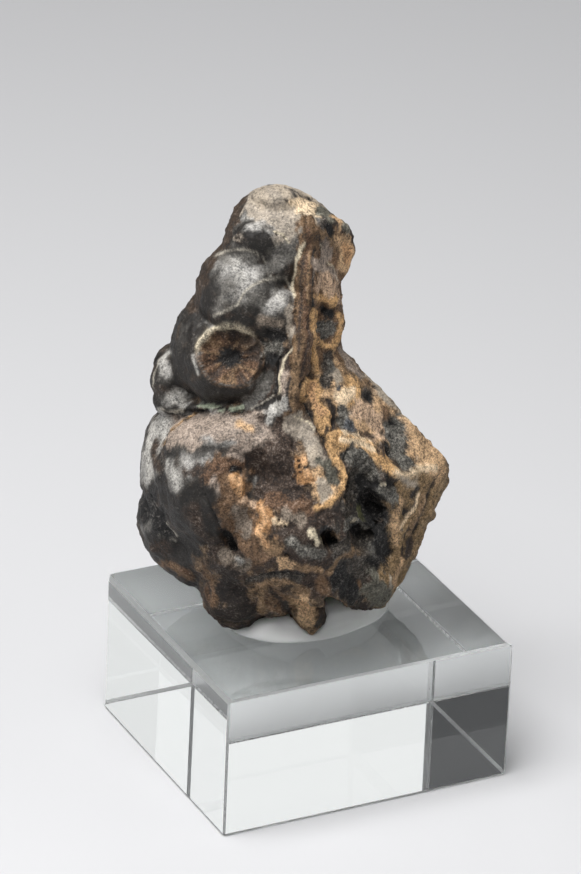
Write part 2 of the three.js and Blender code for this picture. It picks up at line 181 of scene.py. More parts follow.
# It goes out in steps, each a share of the distance that is left, between a way back and a way
# on in mm. Then it is evened out in rounds, each point moving a share of the way to its
# neighbours' mean and settling by a short reach, with slopes taken over a shorter step
SEND_STEPS = 34
SEND_SHARE = 0.85
SEND_BACK = 0.5
SEND_ON = 3.0
EVEN_ROUNDS = 5
EVEN_SHARE = 0.5
SETTLE_REACH = 0.4
SLOPE_STEP = 0.03
LEAST_SLOPE = 0.3

# The broken disc at the front of the eye: middle and radii in mm, and turn
EYE_MIDDLE = (-8.35, 46.25)
EYE_RADII = (3.6, 3.25)
EYE_TURN = math.radians(-20)

# Finishes of the skin: colour as seen (0 to 255), gloss and crumble
FINISHES = {
    "crust": ((27, 23, 19), 0.5, 0.35),
    "crust_brown": ((54, 42, 32), 0.4, 0.45),
    # The next three are partly or wholly painted light: a gray crust that also stands in for sheen, a
    # pale haze with painted sheen, and painted highlights
    "gray_crust_and_sheen": ((88, 85, 80), 0.7, 0.3),
    "haze_and_painted_sheen": ((152, 149, 144), 1, 0.25),
    "painted_highlight": ((156, 153, 147), 0.75, 0.35),
    "seam": ((150, 144, 132), 0.5, 0.3),
    "brown": ((104, 80, 58), 0.15, 0.5),
    "dark_brown": ((56, 43, 34), 0.25, 0.7),
    "black_brown": ((38, 30, 25), 0.35, 0.5),
    "black": ((20, 18, 17), 0.5, 0.9),
    "sparkle": ((100, 97, 90), 0.75, 1),
    "dark_gray": ((68, 62, 55), 0.4, 0.9),
    "blue_gray": ((92, 94, 97), 0.4, 0.8),
    "green": ((84, 84, 54), 0.2, 0.5),
    "gray_green": ((98, 95, 84), 0.4, 0.45),
    "light_green": ((140, 148, 128), 0.3, 0.2),
    "tan": ((186, 154, 118), 0.1, 0.45),
    "pink_tan": ((182, 154, 128), 0.1, 0.45),
    "pale_tan": ((158, 146, 130), 0.3, 0.15),
    "gray_tan": ((142, 132, 119), 0.35, 0.2),
    "light_tan": ((214, 190, 158), 0.15, 0.3),
    "ochre": ((188, 150, 104), 0.1, 0.4),
    "orange": ((146, 108, 70), 0.1, 0.45),
    "light_orange": ((186, 146, 106), 0.1, 0.4),
    # Cream also paints the highlights along the ridge's left edge
    "cream": ((190, 178, 154), 0.2, 0.3),
    "side": ((132, 108, 76), 0.1, 0.6),
    "fibre": ((94, 72, 50), 0.2, 0.6),
    "rust": ((90, 66, 47), 0.15, 0.6),
    "gray_brown": ((118, 106, 93), 0.35, 0.5),
    "light_brown": ((122, 98, 72), 0.15, 0.5),
    "pink_gray": ((138, 124, 112), 0.45, 0.4),
}

# The ways that the domes' skin faces where painted sheen goes, as the top light's highlight would fall:
# on the show side and on the tops behind
SHEEN_SIDE = np.array([-0.10, 0.44, 0.89])
SHEEN_BACK = np.array([-0.30, 0.80, -0.52])

# How far in mm a place's edge wanders and by what share its width changes. A place narrower
# than twice the broad half width wanders less
WANDER = 0.28
PATCHY = 0.5
BROAD = 0.5

# Places on the show face: finish, half width, soft edge, height and the path, in mm
PLACES = [
    # Broad fields first
    ("brown", 2.8, 1.2, 0, [(3.1, 58.9), (2.5, 50.7), (3.3, 43.6)]),
    ("tan", 2.8, 1.2, 0, [(3.9, 43.1), (6.8, 40.7), (11.5, 37.8), (15.3, 34.8)]),
    ("side", 4, 1.2, 0, [(14.8, 30.7), (12.9, 26.6), (11.8, 18.9)]),
    ("dark_brown", 3.3, 1.2, -0.1, [(-4.0, 36.1), (-2.1, 32.1), (-0.2, 28.1)]),
    ("dark_brown", 2.8, 1.2, 0, [(-7.5, 24.2), (-1.4, 23.1), (3.3, 20.7)]),
    ("brown", 2.4, 0.94, 0, [(-8.9, 32.1), (-7.8, 27.2), (-5.6, 24.2)]),
    ("dark_gray", 2.8, 0.71, -0.15, [(6.5, 33.8), (7.3, 29.5), (7.8, 24.2), (5.9, 20.1)]),
    # Crown
    ("gray_tan", 0.094, 0.18, 0.1, [(-9.2, 59.1), (-8.7, 61.3), (-7.5, 64.0), (-5.9, 65.5)]),
    ("pale_tan", 2, 0.59, 0, [(-4.7, 64.4), (-2.2, 64.1), (-0.2, 62.2)]),
    ("crust_brown", 1, 0.47, 0, [(-10.0, 58.2), (-9.2, 61.1), (-7.9, 63.9), (-6.8, 65.3)]),
    ("gray_tan", 1.2, 0.71, 0, [(-3.5, 62.5), (-1.4, 61.5), (-1.9, 60.1)]),
    ("gray_tan", 0.82, 0.59, 0, [(-5.9, 63.4), (-5.2, 62.5)]),
    ("gray_tan", 0.12, 0.18, 0.12, [(-5.4, 65.8), (-6.4, 64.1), (-7.3, 62.7)]),
    ("gray_tan", 0.7, 0.6, 0, [(-3.4, 65.9), (-3.0, 64.6)]),
    ("light_tan", 0.82, 0.59, 0, [(-0.6, 64.2), (1.4, 63.5), (2.6, 62.8)]),
    ("pale_tan", 0.7, 0.6, 0, [(-2.8, 66.4), (-0.8, 66.0), (1.2, 65.2), (3.0, 64.2)]),
    ("dark_gray", 0.1, 0.18, -0.06, [(-1.9, 66.0), (-0.2, 65.1), (1.3, 64.3)]),
    ("black_brown", 0.071, 0.094, -0.05, [(-2.1, 64.4), (-1.1, 64.2)]),
    ("gray_green", 0.71, 0.47, 0, [(2.1, 63.3), (3.3, 62.4)]),
    ("tan", 0.47, 0.35, 0, [(3.9, 62.8), (4.6, 62.0), (4.4, 61.1)]),
    ("gray_green", 0.41, 0.35, 0, [(5.1, 62.0), (5.4, 61.1)]),
    ("light_brown", 0.94, 0.59, 0, [(2.6, 60.6), (3.5, 59.6)]),
    ("tan", 0.94, 0.47, 0.1, [(4.8, 59.9), (5.3, 58.5), (5.1, 57.1)]),
    ("light_orange", 0.47, 0.35, 0.05, [(5.1, 59.2), (5.2, 57.5)]),
    ("black", 0.35, 0.29, -0.25, [(3.3, 61.6), (3.5, 60.4)]),
    ("dark_gray", 0.47, 0.35, -0.05, [(2.8, 61.3), (2.4, 62.0)]),
    ("crust", 1.5, 0.47, 0, [(-5.3, 60.2), (-5.2, 59.6)]),
    # Painted highlight on the bead's top
    ("haze_and_painted_sheen", 0.45, 0.6, 0, [(-5.9, 61.4), (-4.9, 61.5)]),
    ("cream", 0.11, 0.12, -0.04, [(-3.2, 60.8), (-2.2, 60.4), (-1.6, 59.6)]),
    ("black", 0.13, 0.12, -0.12, [(-2.9, 60.6), (-2.9, 60.5)]),
    ("black", 0.13, 0.12, -0.12, [(-2.1, 60.1), (-2.0, 60.1)]),
    ("gray_tan", 0.33, 0.24, 0.05, [(-7.8, 60.1), (-7.2, 60.1)]),
    ("crust_brown", 0.18, 0.14, -0.2, [(-7.8, 60.1), (-7.3, 60.1)]),
    # Painted sheen and highlights on the domes, their dark parts, then the seams between them
    ("gray_crust_and_sheen", 0.6, 1.2, 0, [(-9.2, 57.8), (-7.4, 58.0), (-5.6, 57.4)]),
    ("gray_crust_and_sheen", 0.8, 1.6, 0, [(-7.8, 55.6), (-8.6, 53.8), (-9.6, 52.2)]),
    ("gray_crust_and_sheen", 0.6, 1.2, 0, [(-5.9, 53.2), (-4.6, 52.4)]),
    ("painted_highlight", 0.5, 1.4, 0, [(-7.5, 57.1), (-7.1, 55.2)]),
    ("painted_highlight", 0.35, 1.0, 0, [(-2.9, 53.6), (-2.2, 52.9)]),
    ("crust", 0.8, 0.8, 0, [(-13.1, 51.3), (-12.5, 49.6), (-13.0, 47.4), (-13.6, 45.2)]),
    ("crust", 1.1, 0.9, 0, [(-12.0, 42.6), (-9.4, 41.7), (-6.8, 42.6)]),
    ("crust", 0.7, 0.7, 0, [(-12.1, 51.2), (-11.3, 49.7)]),
    ("crust", 0.8, 0.9, 0, [(-11.3, 56.4), (-11.4, 54.4), (-11.0, 52.8)]),
    ("seam", 0.12, 0.3, 0.04, [(-10.1, 58.0), (-9.1, 58.6), (-7.4, 58.8), (-5.8, 58.6), (-4.7, 58.0)]),
    ("seam", 0.12, 0.3, 0.04, [(-1.6, 59.8), (-3.4, 58.8), (-4.6, 58.1), (-4.2, 56.8), (-3.6, 55.4)]),
    ("seam", 0.12, 0.3, 0.05, [(-10.2, 51.1), (-8.9, 51.6), (-7.5, 52.2), (-6.6, 53.9), (-5.4, 54.7),
        (-4.2, 55.2), (-2.9, 55.4), (-1.9, 55.3), (-1.2, 54.1), (-0.9, 53.3)]),
    ("gray_crust_and_sheen", 1.2, 0.7, 0, [(-3.2, 56.6), (-2.3, 57.6), (-1.7, 58.4)]),
    ("crust_brown", 0.71, 0.71, 0, [(-10.6, 57.5), (-11.6, 55.9), (-12.2, 54.2), (-12.9, 52.1)]),
    ("gray_brown", 0.71, 0.59, 0, [(-4.7, 50.5), (-2.8, 50.2)]),
    ("gray_tan", 0.53, 0.35, 0, [(-1.5, 51.6), (-1.6, 50.0), (-1.3, 48.4)]),
    ("black", 0.94, 0.59, -0.1, [(-3.5, 48.8), (-2.5, 48.6)]),
    ("sparkle", 0.82, 0.59, -0.05, [(-3.9, 46.9), (-2.5, 47.2)]),
    ("black", 0.59, 0.35, -0.08, [(-4.2, 45.5), (-3.1, 46.0)]),
    # Ridge
    ("fibre", 1.1, 0.35, 0.1, [(0.5, 61.4), (0.5, 58.9), (0.4, 55.4), (0.1, 50.7), (0.0, 47.4),
        (-0.4, 44.4), (-1.3, 41.3), (-0.6, 38.9)]),
    ("pink_gray", 0.59, 0.47, 0.05, [(-2.2, 44.6), (-2.4, 42.2), (-1.8, 40.8)]),
    ("black", 0.14, 0.18, -0.25, [(1.3, 58.7), (1.3, 53.1), (1.2, 49.5), (1.2, 46.5), (0.8, 44.4),
        (-0.2, 42.9), (0.0, 41.3), (1.3, 38.8), (2.7, 36.6), (3.3, 34.7)]),
    # Painted highlights: cream lines along the ridge's left edge, where it catches the light
    ("cream", 0.2, 0.24, 0.1, [(0.5, 59.5), (-0.2, 58.9), (-0.6, 57.5), (-0.8, 55.9), (-1.1, 54.5),
        (-0.9, 53.3)]),
    ("cream", 0.15, 0.24, 0.1, [(-1.1, 47.2), (-2.1, 45.8), (-2.6, 43.6), (-2.7, 41.8)]),
    ("black", 0.11, 0.12, -0.15, [(-1.6, 46.9), (-2.7, 45.8), (-3.0, 43.6), (-3.1, 42.0)]),
    ("light_brown", 0.4, 0.6, 0, [(0.1, 47.9), (-0.2, 45.8), (-0.9, 43.4), (-1.3, 40.6)]),
    ("rust", 0.35, 0.35, 0, [(0.6, 61.1), (0.8, 57.5), (0.6, 53.1), (0.5, 47.9), (0.1, 44.8)]),
    ("fibre", 0.47, 0.35, 0.08, [(-0.4, 61.6), (0.5, 62.0), (1.4, 61.4), (1.8, 60.1)]),
    ("dark_brown", 0.14, 0.4, -0.04, [(0.2, 58.0), (0.0, 55.4), (0.0, 52.6), (-0.4, 49.5),
        (-0.4, 46.9)]),
    ("light_brown", 0.14, 0.24, 0.06, [(0.8, 58.5), (0.7, 55.4), (0.7, 52.4)]),
    ("dark_brown", 0.12, 0.35, -0.05, [(0.8, 50.9), (0.6, 48.4), (0.4, 45.8), (-0.2, 43.9)]),
    ("light_brown", 0.16, 0.24, 0.06, [(-0.7, 48.6), (-0.7, 46.2), (-1.1, 44.1), (-1.6, 42.0)]),
    ("black_brown", 0.14, 0.24, -0.08, [(-1.3, 43.9), (-1.8, 42.2), (-1.4, 40.1)]),
    ("black_brown", 0.094, 0.12, -0.1, [(1.9, 60.4), (2.7, 57.5), (3.8, 56.0)]),
    ("cream", 0.082, 0.12, 0.06, [(2.2, 59.3), (2.9, 57.5), (3.8, 56.6), (4.2, 54.9)]),
    # Gray wedges under the eye
    ("gray_crust_and_sheen", 1.1, 0.35, 0, [(-4.0, 43.6), (-5.2, 42.2), (-6.1, 41.1)]),
    ("gray_crust_and_sheen", 0.47, 0.24, 0, [(-3.6, 44.6), (-4.0, 42.7)]),
    ("seam", 0.094, 0.12, 0.1, [(-6.0, 40.2), (-4.7, 40.9), (-3.3, 41.8)]),
    ("crust", 0.47, 0.35, -0.05, [(-5.2, 39.9), (-3.8, 40.9), (-2.9, 41.4)]),
    # Painted highlight down the low rib
    ("painted_highlight", 0.61, 0.24, 0.15, [(-2.1, 40.9), (-3.1, 40.1), (-3.9, 38.9)]),
    ("light_green", 0.31, 0.24, 0.05, [(-12.1, 40.5), (-10.6, 40.6), (-9.3, 40.2)]),
    ("light_green", 0.26, 0.24, 0.05, [(-8.4, 40.2), (-6.9, 40.4)]),
    ("black", 0.11, 0.12, -0.2, [(-12.6, 40.0), (-10.6, 40.0), (-9.4, 40.4), (-8.2, 39.9), (-6.6, 39.9)]),
    # Left beads, with painted highlights on them and on the crust left of the eye
    ("painted_highlight", 0.47, 0.47, 0, [(-15.9, 46.8), (-16.6, 45.6), (-16.4, 44.8)]),
    ("seam", 0.094, 0.12, 0.05, [(-16.9, 45.9), (-17.5, 44.4), (-17.6, 42.7)]),
    ("painted_highlight", 0.6, 0.6, 0, [(-14.6, 42.2), (-15.8, 41.0), (-14.4, 41.0)]),
    ("seam", 0.15, 0.16, 0.1, [(-16.8, 40.1), (-15.4, 39.9), (-13.2, 40.4)]),
    ("black", 0.11, 0.12, -0.2, [(-17.6, 39.5), (-16.1, 39.6), (-14.4, 39.6), (-12.5, 40.0)]),
    ("painted_highlight", 0.12, 0.3, 0, [(-12.7, 46.4), (-12.5, 45.2), (-12.2, 44.3)]),
    # Right of the ridge
    ("pink_gray", 0.82, 0.47, 0, [(2.2, 57.0), (3.3, 55.9)]),
    ("pink_gray", 0.6, 0.47, 0, [(2.7, 59.4), (3.0, 58.0)]),
    ("pink_tan", 1.1, 0.47, 0.08, [(2.6, 54.9), (3.5, 53.4)]),
    ("ochre", 0.59, 0.35, 0.05, [(2.1, 53.1), (3.6, 52.7)]),
    ("ochre", 0.31, 0.24, 0.12, [(1.4, 51.6), (1.4, 50.0), (1.6, 48.6), (2.4, 47.8), (3.5, 47.6),
        (4.4, 48.6), (4.6, 50.2), (4.4, 51.4)]),
    ("sparkle", 0.82, 0.35, -0.1, [(2.9, 50.2), (3.1, 49.1)]),
    ("black", 0.59, 0.35, -0.2, [(2.7, 51.5), (3.5, 51.3)]),
    ("ochre", 0.35, 0.29, 0.05, [(1.5, 48.1), (1.4, 46.2), (1.8, 44.6)]),
    ("ochre", 0.94, 0.47, 0.12, [(1.4, 42.9), (1.1, 41.8), (1.9, 40.1), (2.7, 38.5)]),
    ("light_orange", 0.47, 0.47, 0.04, [(1.2, 42.7), (0.9, 41.5), (2.1, 39.6)]),
    ("light_brown", 0.94, 0.47, 0, [(5.1, 47.2), (6.1, 45.1), (7.1, 43.6)]),
    ("pink_gray", 0.5, 0.47, 0, [(4.7, 47.4), (5.9, 45.5), (6.8, 44.1)]),
    ("dark_gray", 0.6, 0.47, -0.15, [(2.9, 46.4), (3.1, 44.6), (2.9, 43.4)]),
    ("sparkle", 0.35, 0.35, 0, [(3.3, 45.8), (3.4, 44.4)]),
    ("pale_tan", 0.59, 0.35, 0.1, [(3.9, 44.6), (4.2, 43.2)]),
    ("blue_gray", 0.26, 0.24, -0.1, [(4.4, 42.6), (5.1, 42.9)]),
    ("ochre", 0.82, 0.59, 0.1, [(5.6, 43.4), (6.1, 42.2), (5.2, 41.1)]),
    ("light_tan", 0.59, 0.47, 0.05, [(5.5, 42.0), (4.7, 41.1), (4.2, 41.5)]),
    ("dark_gray", 0.75, 0.47, -0.35, [(7.9, 42.3), (7.9, 41.5)]),
    ("black", 0.4, 0.35, -0.2, [(8.2, 42.2), (8.0, 41.5)]),
    ("pale_tan", 0.35, 0.29, 0.1, [(7.5, 44.2), (8.8, 43.4), (9.6, 41.9), (10.5, 40.9), (11.9, 39.9)]),
    # Sloping face
    ("pink_tan", 1.8, 0.94, 0, [(7.1, 39.4), (8.9, 38.5)]),
    ("pink_tan", 0.59, 0.59, 0, [(7.2, 40.4), (8.5, 39.9)]),
    ("tan", 0.47, 0.47, 0, [(6.4, 38.5), (8.0, 37.5)]),
    ("brown", 0.47, 0.35, 0, [(9.6, 40.4), (10.1, 39.4)]),
    ("sparkle", 0.71, 0.47, -0.2, [(4.6, 40.0), (5.1, 38.7), (5.5, 37.8)]),
    ("blue_gray", 0.47, 0.35, 0, [(5.4, 38.5), (5.9, 37.8)]),
    ("black_brown", 0.29, 0.24, -0.1, [(2.9, 41.3), (3.5, 40.4), (3.8, 38.5), (3.5, 37.1)]),
    ("light_tan", 0.59, 0.47, 0.08, [(5.1, 36.9), (6.6, 36.8), (7.8, 35.9)]),
    ("dark_brown", 0.24, 0.24, -0.1, [(7.5, 37.3), (8.5, 36.8)]),
    ("ochre", 0.71, 0.35, 0.1, [(4.1, 37.1), (3.8, 35.9), (5.6, 36.4), (7.3, 35.9), (8.7, 34.9),
        (9.9, 33.5), (10.8, 32.6)]),
    ("light_tan", 0.35, 0.35, 0.06, [(4.7, 36.6), (7.1, 36.2), (8.5, 35.3)]),
    ("sparkle", 1.3, 0.47, -0.35, [(11.3, 38.2), (11.8, 36.6), (11.8, 35.2), (12.5, 34.2)]),
    ("black", 0.28, 0.18, -0.4, [(10.8, 38.9), (11.3, 38.6)]),
    ("black", 0.35, 0.29, -0.2, [(10.1, 35.9), (10.5, 34.9)]),
    ("dark_gray", 0.47, 0.35, -0.1, [(13.1, 35.8), (13.9, 34.2)]),
    ("tan", 0.29, 0.24, 0.1, [(12.8, 35.2), (13.6, 34.7)]),
    ("tan", 1.2, 0.59, 0, [(14.4, 36.6), (15.5, 34.8), (16.0, 33.1)]),
    ("tan", 0.59, 0.47, 0, [(14.6, 35.6), (15.1, 34.5)]),
    ("light_tan", 0.19, 0.24, 0.08, [(12.1, 39.6), (14.1, 38.1), (15.8, 36.6), (16.6, 35.2)]),
    ("light_tan", 0.47, 0.47, 0.05, [(11.1, 32.4), (12.5, 32.6), (14.4, 33.1), (15.8, 33.1)]),
    ("pale_tan", 0.47, 0.47, 0, [(12.0, 31.9), (13.2, 31.4)]),
    # Side face streaks
    ("black_brown", 0.31, 0.24, -0.15, [(13.8, 30.9), (13.4, 29.8)]),
    ("black_brown", 0.13, 0.14, -0.12, [(13.8, 29.8), (13.3, 28.6), (12.6, 27.5)]),
    ("black_brown", 0.31, 0.24, -0.2, [(12.6, 28.2), (12.4, 27.8)]),
    ("black_brown", 0.13, 0.14, -0.12, [(15.3, 29.8), (14.6, 28.6), (13.9, 26.7), (13.3, 25.3)]),
    ("black_brown", 0.11, 0.14, -0.1, [(16.0, 31.9), (15.3, 30.5), (14.9, 29.1)]),
    ("black_brown", 0.12, 0.14, -0.1, [(12.8, 26.2), (12.2, 24.6), (11.9, 22.5)]),
    ("light_tan", 0.12, 0.14, 0.08, [(13.9, 30.0), (13.5, 28.6), (12.5, 27.2), (11.5, 26.0)]),
    ("tan", 0.35, 0.35, 0.05, [(11.8, 29.5), (11.2, 27.2), (11.1, 24.2)]),
    ("light_brown", 0.35, 0.35, 0.05, [(14.6, 29.8), (13.8, 27.6), (12.8, 25.4)]),
    ("tan", 0.24, 0.24, 0.05, [(12.0, 22.5), (11.3, 20.1), (10.6, 18.2)]),
    ("dark_brown", 0.47, 0.35, 0, [(13.1, 24.8), (12.4, 22.9)]),
    # Middle
    ("gray_tan", 1.2, 0.59, 0, [(-0.7, 38.5), (0.5, 37.5)]),
    ("gray_tan", 1.1, 0.47, 0.05, [(1.1, 35.8), (1.9, 34.5)]),
    ("pale_tan", 0.8, 0.5, 0, [(1.1, 35.2), (1.7, 34.2)]),
    ("gray_green", 0.35, 0.35, 0, [(1.9, 34.3), (2.4, 33.7)]),
    ("tan", 1.1, 0.47, 0.05, [(1.6, 32.1), (2.4, 30.2), (3.3, 30.0)]),
    ("pale_tan", 0.82, 0.47, 0.04, [(2.4, 31.2), (2.8, 29.8)]),
    ("orange", 0.82, 0.41, 0.06, [(-0.2, 34.0), (0.1, 32.6), (0.5, 31.9)]),
    ("light_orange", 0.35, 0.35, 0, [(0.1, 34.5), (0.7, 32.6)]),
    ("black", 0.18, 0.12, -0.35, [(-0.3, 34.1)]),
    ("black", 0.18, 0.12, -0.35, [(-0.3, 33.4)]),
    ("black", 0.19, 0.12, -0.35, [(0.4, 33.3), (0.6, 33.4)]),
    ("black", 0.16, 0.12, -0.35, [(-0.3, 32.8), (-0.2, 32.8)]),
    ("gray_green", 0.71, 0.47, -0.1, [(3.3, 33.5), (3.9, 32.1)]),
    ("ochre", 0.38, 0.26, 0.18, [(3.9, 37.3), (3.7, 35.9), (4.0, 34.5), (4.8, 32.8), (5.1, 31.6),
        (4.6, 30.5), (3.4, 29.3), (1.9, 28.6)]),
    ("dark_brown", 0.14, 0.14, -0.2, [(5.4, 35.6), (5.1, 34.0), (5.5, 32.4), (5.5, 31.1), (4.9, 29.8)]),
    ("cream", 0.082, 0.12, 0.08, [(-0.9, 39.3), (0.0, 38.9), (0.8, 38.6), (1.4, 37.8)]),
    ("dark_brown", 0.12, 0.14, -0.1, [(-3.8, 37.5), (-2.4, 37.8), (-1.2, 36.6), (-0.6, 35.5)]),
    # Black hollow
    ("sparkle", 1.1, 0.59, 0, [(5.9, 34.8), (7.1, 34.0), (8.2, 32.6)]),
    ("black", 1.5, 0.59, -0.15, [(7.5, 30.7), (8.2, 28.6), (8.5, 26.0)]),
    ("black", 1.2, 0.47, -0.2, [(8.9, 26.0), (9.6, 22.5)]),
    ("black", 0.47, 0.29, -0.4, [(10.2, 31.8), (10.7, 31.4)]),
    ("cream", 0.21, 0.16, 0.1, [(9.4, 30.9), (9.9, 31.3)]),
    ("sparkle", 0.8, 0.47, 0.1, [(9.9, 30.2), (10.7, 30.0)]),
    ("black", 0.75, 0.3, -0.5, [(8.5, 28.3), (8.9, 27.4)]),
    ("green", 0.41, 0.35, 0, [(6.9, 28.5), (7.1, 27.3)]),
    ("sparkle", 0.31, 0.19, 0.2, [(5.2, 26.0), (5.1, 26.9), (5.9, 27.3), (6.8, 26.9), (7.5, 26.0)]),
    ("cream", 0.12, 0.094, 0.1, [(5.9, 26.9), (6.4, 27.1)]),
    ("black", 0.71, 0.35, -0.3, [(5.9, 25.9), (6.6, 25.8)]),
    ("sparkle", 0.47, 0.35, 0, [(8.2, 23.9), (8.7, 22.9)]),
    ("light_brown", 0.45, 0.4, 0.05, [(5.6, 22.9), (6.6, 23.5)]),
    # Grain
    ("black", 0.59, 0.24, -0.1, [(2.7, 25.8), (3.3, 24.7)]),
    ("cream", 0.42, 0.16, 0.3, [(1.1, 25.6), (1.8, 24.7)]),
    ("sparkle", 0.71, 0.59, 0.03, [(-1.2, 24.4), (0.4, 23.4), (2.4, 22.9)]),
    # Ear lobe and vein
    ("rust", 0.82, 0.47, 0.25, [(-11.1, 31.4), (-10.7, 32.6), (-9.4, 33.6), (-7.5, 33.8)]),
    ("brown", 0.82, 0.47, 0.2, [(-10.7, 31.2), (-10.4, 29.5), (-9.5, 27.9), (-8.9, 26.5)]),
    ("pink_gray", 0.47, 0.47, 0.1, [(-10.5, 31.9), (-10.1, 30.0)]),
    ("black", 0.4, 0.28, -0.3, [(-8.1, 33.2), (-7.4, 32.8)]),
    ("black", 0.12, 0.14, -0.2, [(-11.6, 32.1), (-11.4, 30.7), (-10.9, 29.3), (-10.1, 27.6),
        (-9.2, 25.5)]),
    ("orange", 0.59, 0.29, 0.12, [(-7.9, 32.1), (-7.3, 30.9), (-6.9, 29.8)]),
    ("light_orange", 0.28, 0.24, 0.08, [(-8.4, 32.2), (-7.5, 31.9), (-7.3, 30.2)]),
    ("pink_tan", 0.53, 0.29, 0.1, [(-6.9, 29.6), (-5.9, 29.2), (-4.7, 28.8)]),
    ("orange", 0.82, 0.41, 0.1, [(-4.7, 29.1), (-4.1, 27.6), (-4.7, 26.0), (-4.3, 25.0)]),
    ("light_brown", 0.75, 0.5, 0.08, [(-4.5, 25.2), (-3.9, 24.2), (-3.0, 23.4)]),
    ("light_orange", 0.35, 0.35, 0.06, [(-4.7, 28.8), (-4.2, 27.2), (-5.2, 25.8), (-4.0, 24.2)]),
    ("light_tan", 0.47, 0.29, 0.06, [(-3.1, 27.2), (-2.1, 26.9)]),
    ("black", 0.14, 0.12, -0.2, [(-2.8, 27.2), (-2.8, 27.1)]),
    ("black", 0.14, 0.12, -0.2, [(-2.1, 26.5), (-2.1, 26.4)]),
    ("tan", 0.71, 0.35, 0.1, [(-2.4, 22.2), (-1.3, 21.9)]),
    ("light_brown", 0.4, 0.29, 0.05, [(-0.6, 21.6), (0.7, 21.4), (1.9, 21.3)]),
    ("black", 0.18, 0.12, -0.2, [(-1.9, 23.1), (-1.8, 23.0)]),
    ("gray_brown", 0.82, 0.59, 0, [(-7.3, 28.1), (-6.8, 26.0), (-7.5, 27.2)]),
    ("rust", 1.1, 0.71, 0, [(-3.2, 29.5), (-1.2, 28.4), (0.4, 28.8)]),
    ("gray_brown", 0.6, 0.6, 0, [(-2.2, 27.9), (-0.2, 27.2)]),
    ("gray_brown", 0.94, 0.71, 0, [(-8.9, 22.9), (-7.3, 22.0)]),
    # Painted highlight on the low front lump
    ("painted_highlight", 0.35, 0.47, 0, [(-7.8, 22.5), (-7.3, 22.1)]),
    ("black", 0.4, 0.24, -0.35, [(-8.9, 25.4), (-8.6, 24.7), (-8.0, 23.9)]),
    # Bottom
    ("black_brown", 2, 0.71, 0, [(-8.7, 18.7), (-7.8, 16.4)]),
    ("brown", 0.38, 0.29, 0.1, [(-11.5, 21.6), (-10.9, 20.4), (-10.5, 18.7), (-10.5, 17.1)]),
    ("rust", 0.24, 0.24, 0, [(-11.3, 18.9), (-11.1, 17.3)]),
    ("brown", 0.42, 0.35, 0.06, [(-16.5, 21.9), (-14.8, 21.2), (-13.2, 20.1)]),
    ("rust", 0.28, 0.24, 0.05, [(-14.4, 21.3), (-13.2, 20.4)]),
    ("dark_brown", 0.16, 0.14, -0.15, [(-14.8, 20.2), (-13.9, 19.9)]),
    ("dark_gray", 0.31, 0.24, -0.2, [(-6.6, 19.9), (-4.7, 20.5), (-2.4, 20.5), (-0.2, 20.2)]),
    ("black", 0.14, 0.14, -0.25, [(-4.7, 20.6), (-2.1, 20.8), (0.2, 20.6)]),
    ("light_brown", 0.38, 0.24, 0.15, [(-5.9, 18.9), (-4.5, 19.6), (-2.4, 19.8), (0.0, 19.5)]),
    ("black", 0.12, 0.12, -0.25, [(0.0, 19.2), (0.9, 19.4), (1.9, 19.8)]),
    ("brown", 1.3, 0.59, 0, [(-3.3, 17.8), (-1.6, 17.1)]),
    ("dark_brown", 0.24, 0.24, -0.1, [(-3.8, 18.9), (-2.8, 17.8), (-2.1, 16.4)]),
    ("light_brown", 0.42, 0.29, 0.1, [(-4.7, 18.9), (-4.9, 17.3), (-4.7, 15.9)]),
    ("light_brown", 1.2, 0.47, 0, [(-0.2, 18.0), (0.4, 16.4), (0.7, 14.2)]),
    ("tan", 0.95, 0.6, 0, [(0.3, 17.0), (0.6, 15.4)]),
    ("black_brown", 0.35, 0.35, -0.1, [(-1.9, 17.1), (-1.4, 15.9)]),
    ("black_brown", 0.25, 0.3, 0, [(1.7, 14.3), (2.3, 15.6)]),
    ("black", 1.4, 0.59, 0, [(4.2, 20.6), (5.2, 19.2), (6.4, 18.7)]),
    ("brown", 0.24, 0.24, 0, [(6.8, 19.6), (7.2, 18.2)]),
    ("gray_green", 1.6, 0.59, 0, [(8.5, 18.9), (9.2, 18.2)]),
    ("pale_tan", 0.14, 0.18, 0.1, [(10.5, 20.4), (10.5, 18.9)]),
    ("light_brown", 0.21, 0.24, 0.12, [(3.1, 20.8), (3.8, 21.8), (4.6, 22.6)]),
    ("brown", 0.71, 0.47, 0, [(2.4, 20.1), (2.8, 18.7)]),
    # Left side
    ("pink_gray", 1.8, 0.82, 0, [(-14.4, 37.1), (-11.4, 38.1), (-6.1, 37.8)]),
    ("pink_gray", 1.2, 0.82, 0, [(-4.7, 37.5), (-7.3, 35.6)]),
    ("tan", 0.47, 0.47, 0, [(-7.5, 38.5), (-6.1, 38.0)]),
    ("ochre", 0.14, 0.18, 0, [(-12.5, 39.6), (-14.2, 38.7), (-15.8, 37.3), (-16.5, 35.9)]),
    ("black", 0.094, 0.12, -0.2, [(-12.7, 39.4), (-14.5, 38.5), (-15.9, 37.2), (-16.7, 35.6),
        (-16.8, 34.5), (-16.2, 33.3), (-16.9, 31.9)]),
    ("dark_brown", 0.71, 0.59, -0.05, [(-13.2, 32.8), (-12.1, 33.1)]),
    ("crust", 2.2, 1.4, 0, [(-12.6, 29.4), (-11.6, 26.8)]),
    ("dark_brown", 0.8, 1.3, 0, [(-12.9, 28.2), (-12.0, 26.2), (-11.0, 24.8)]),
    # Painted highlights along the left band
    ("painted_highlight", 0.59, 1.1, 0, [(-15.4, 33.6), (-15.0, 31.2)]),
    ("painted_highlight", 0.9, 0.71, 0, [(-16.7, 38.9), (-17.5, 36.8), (-18.1, 34.0), (-18.4, 32.1)]),
    ("black", 1.5, 0.7, 0, [(-18.2, 28.9), (-17.2, 26.6)]),
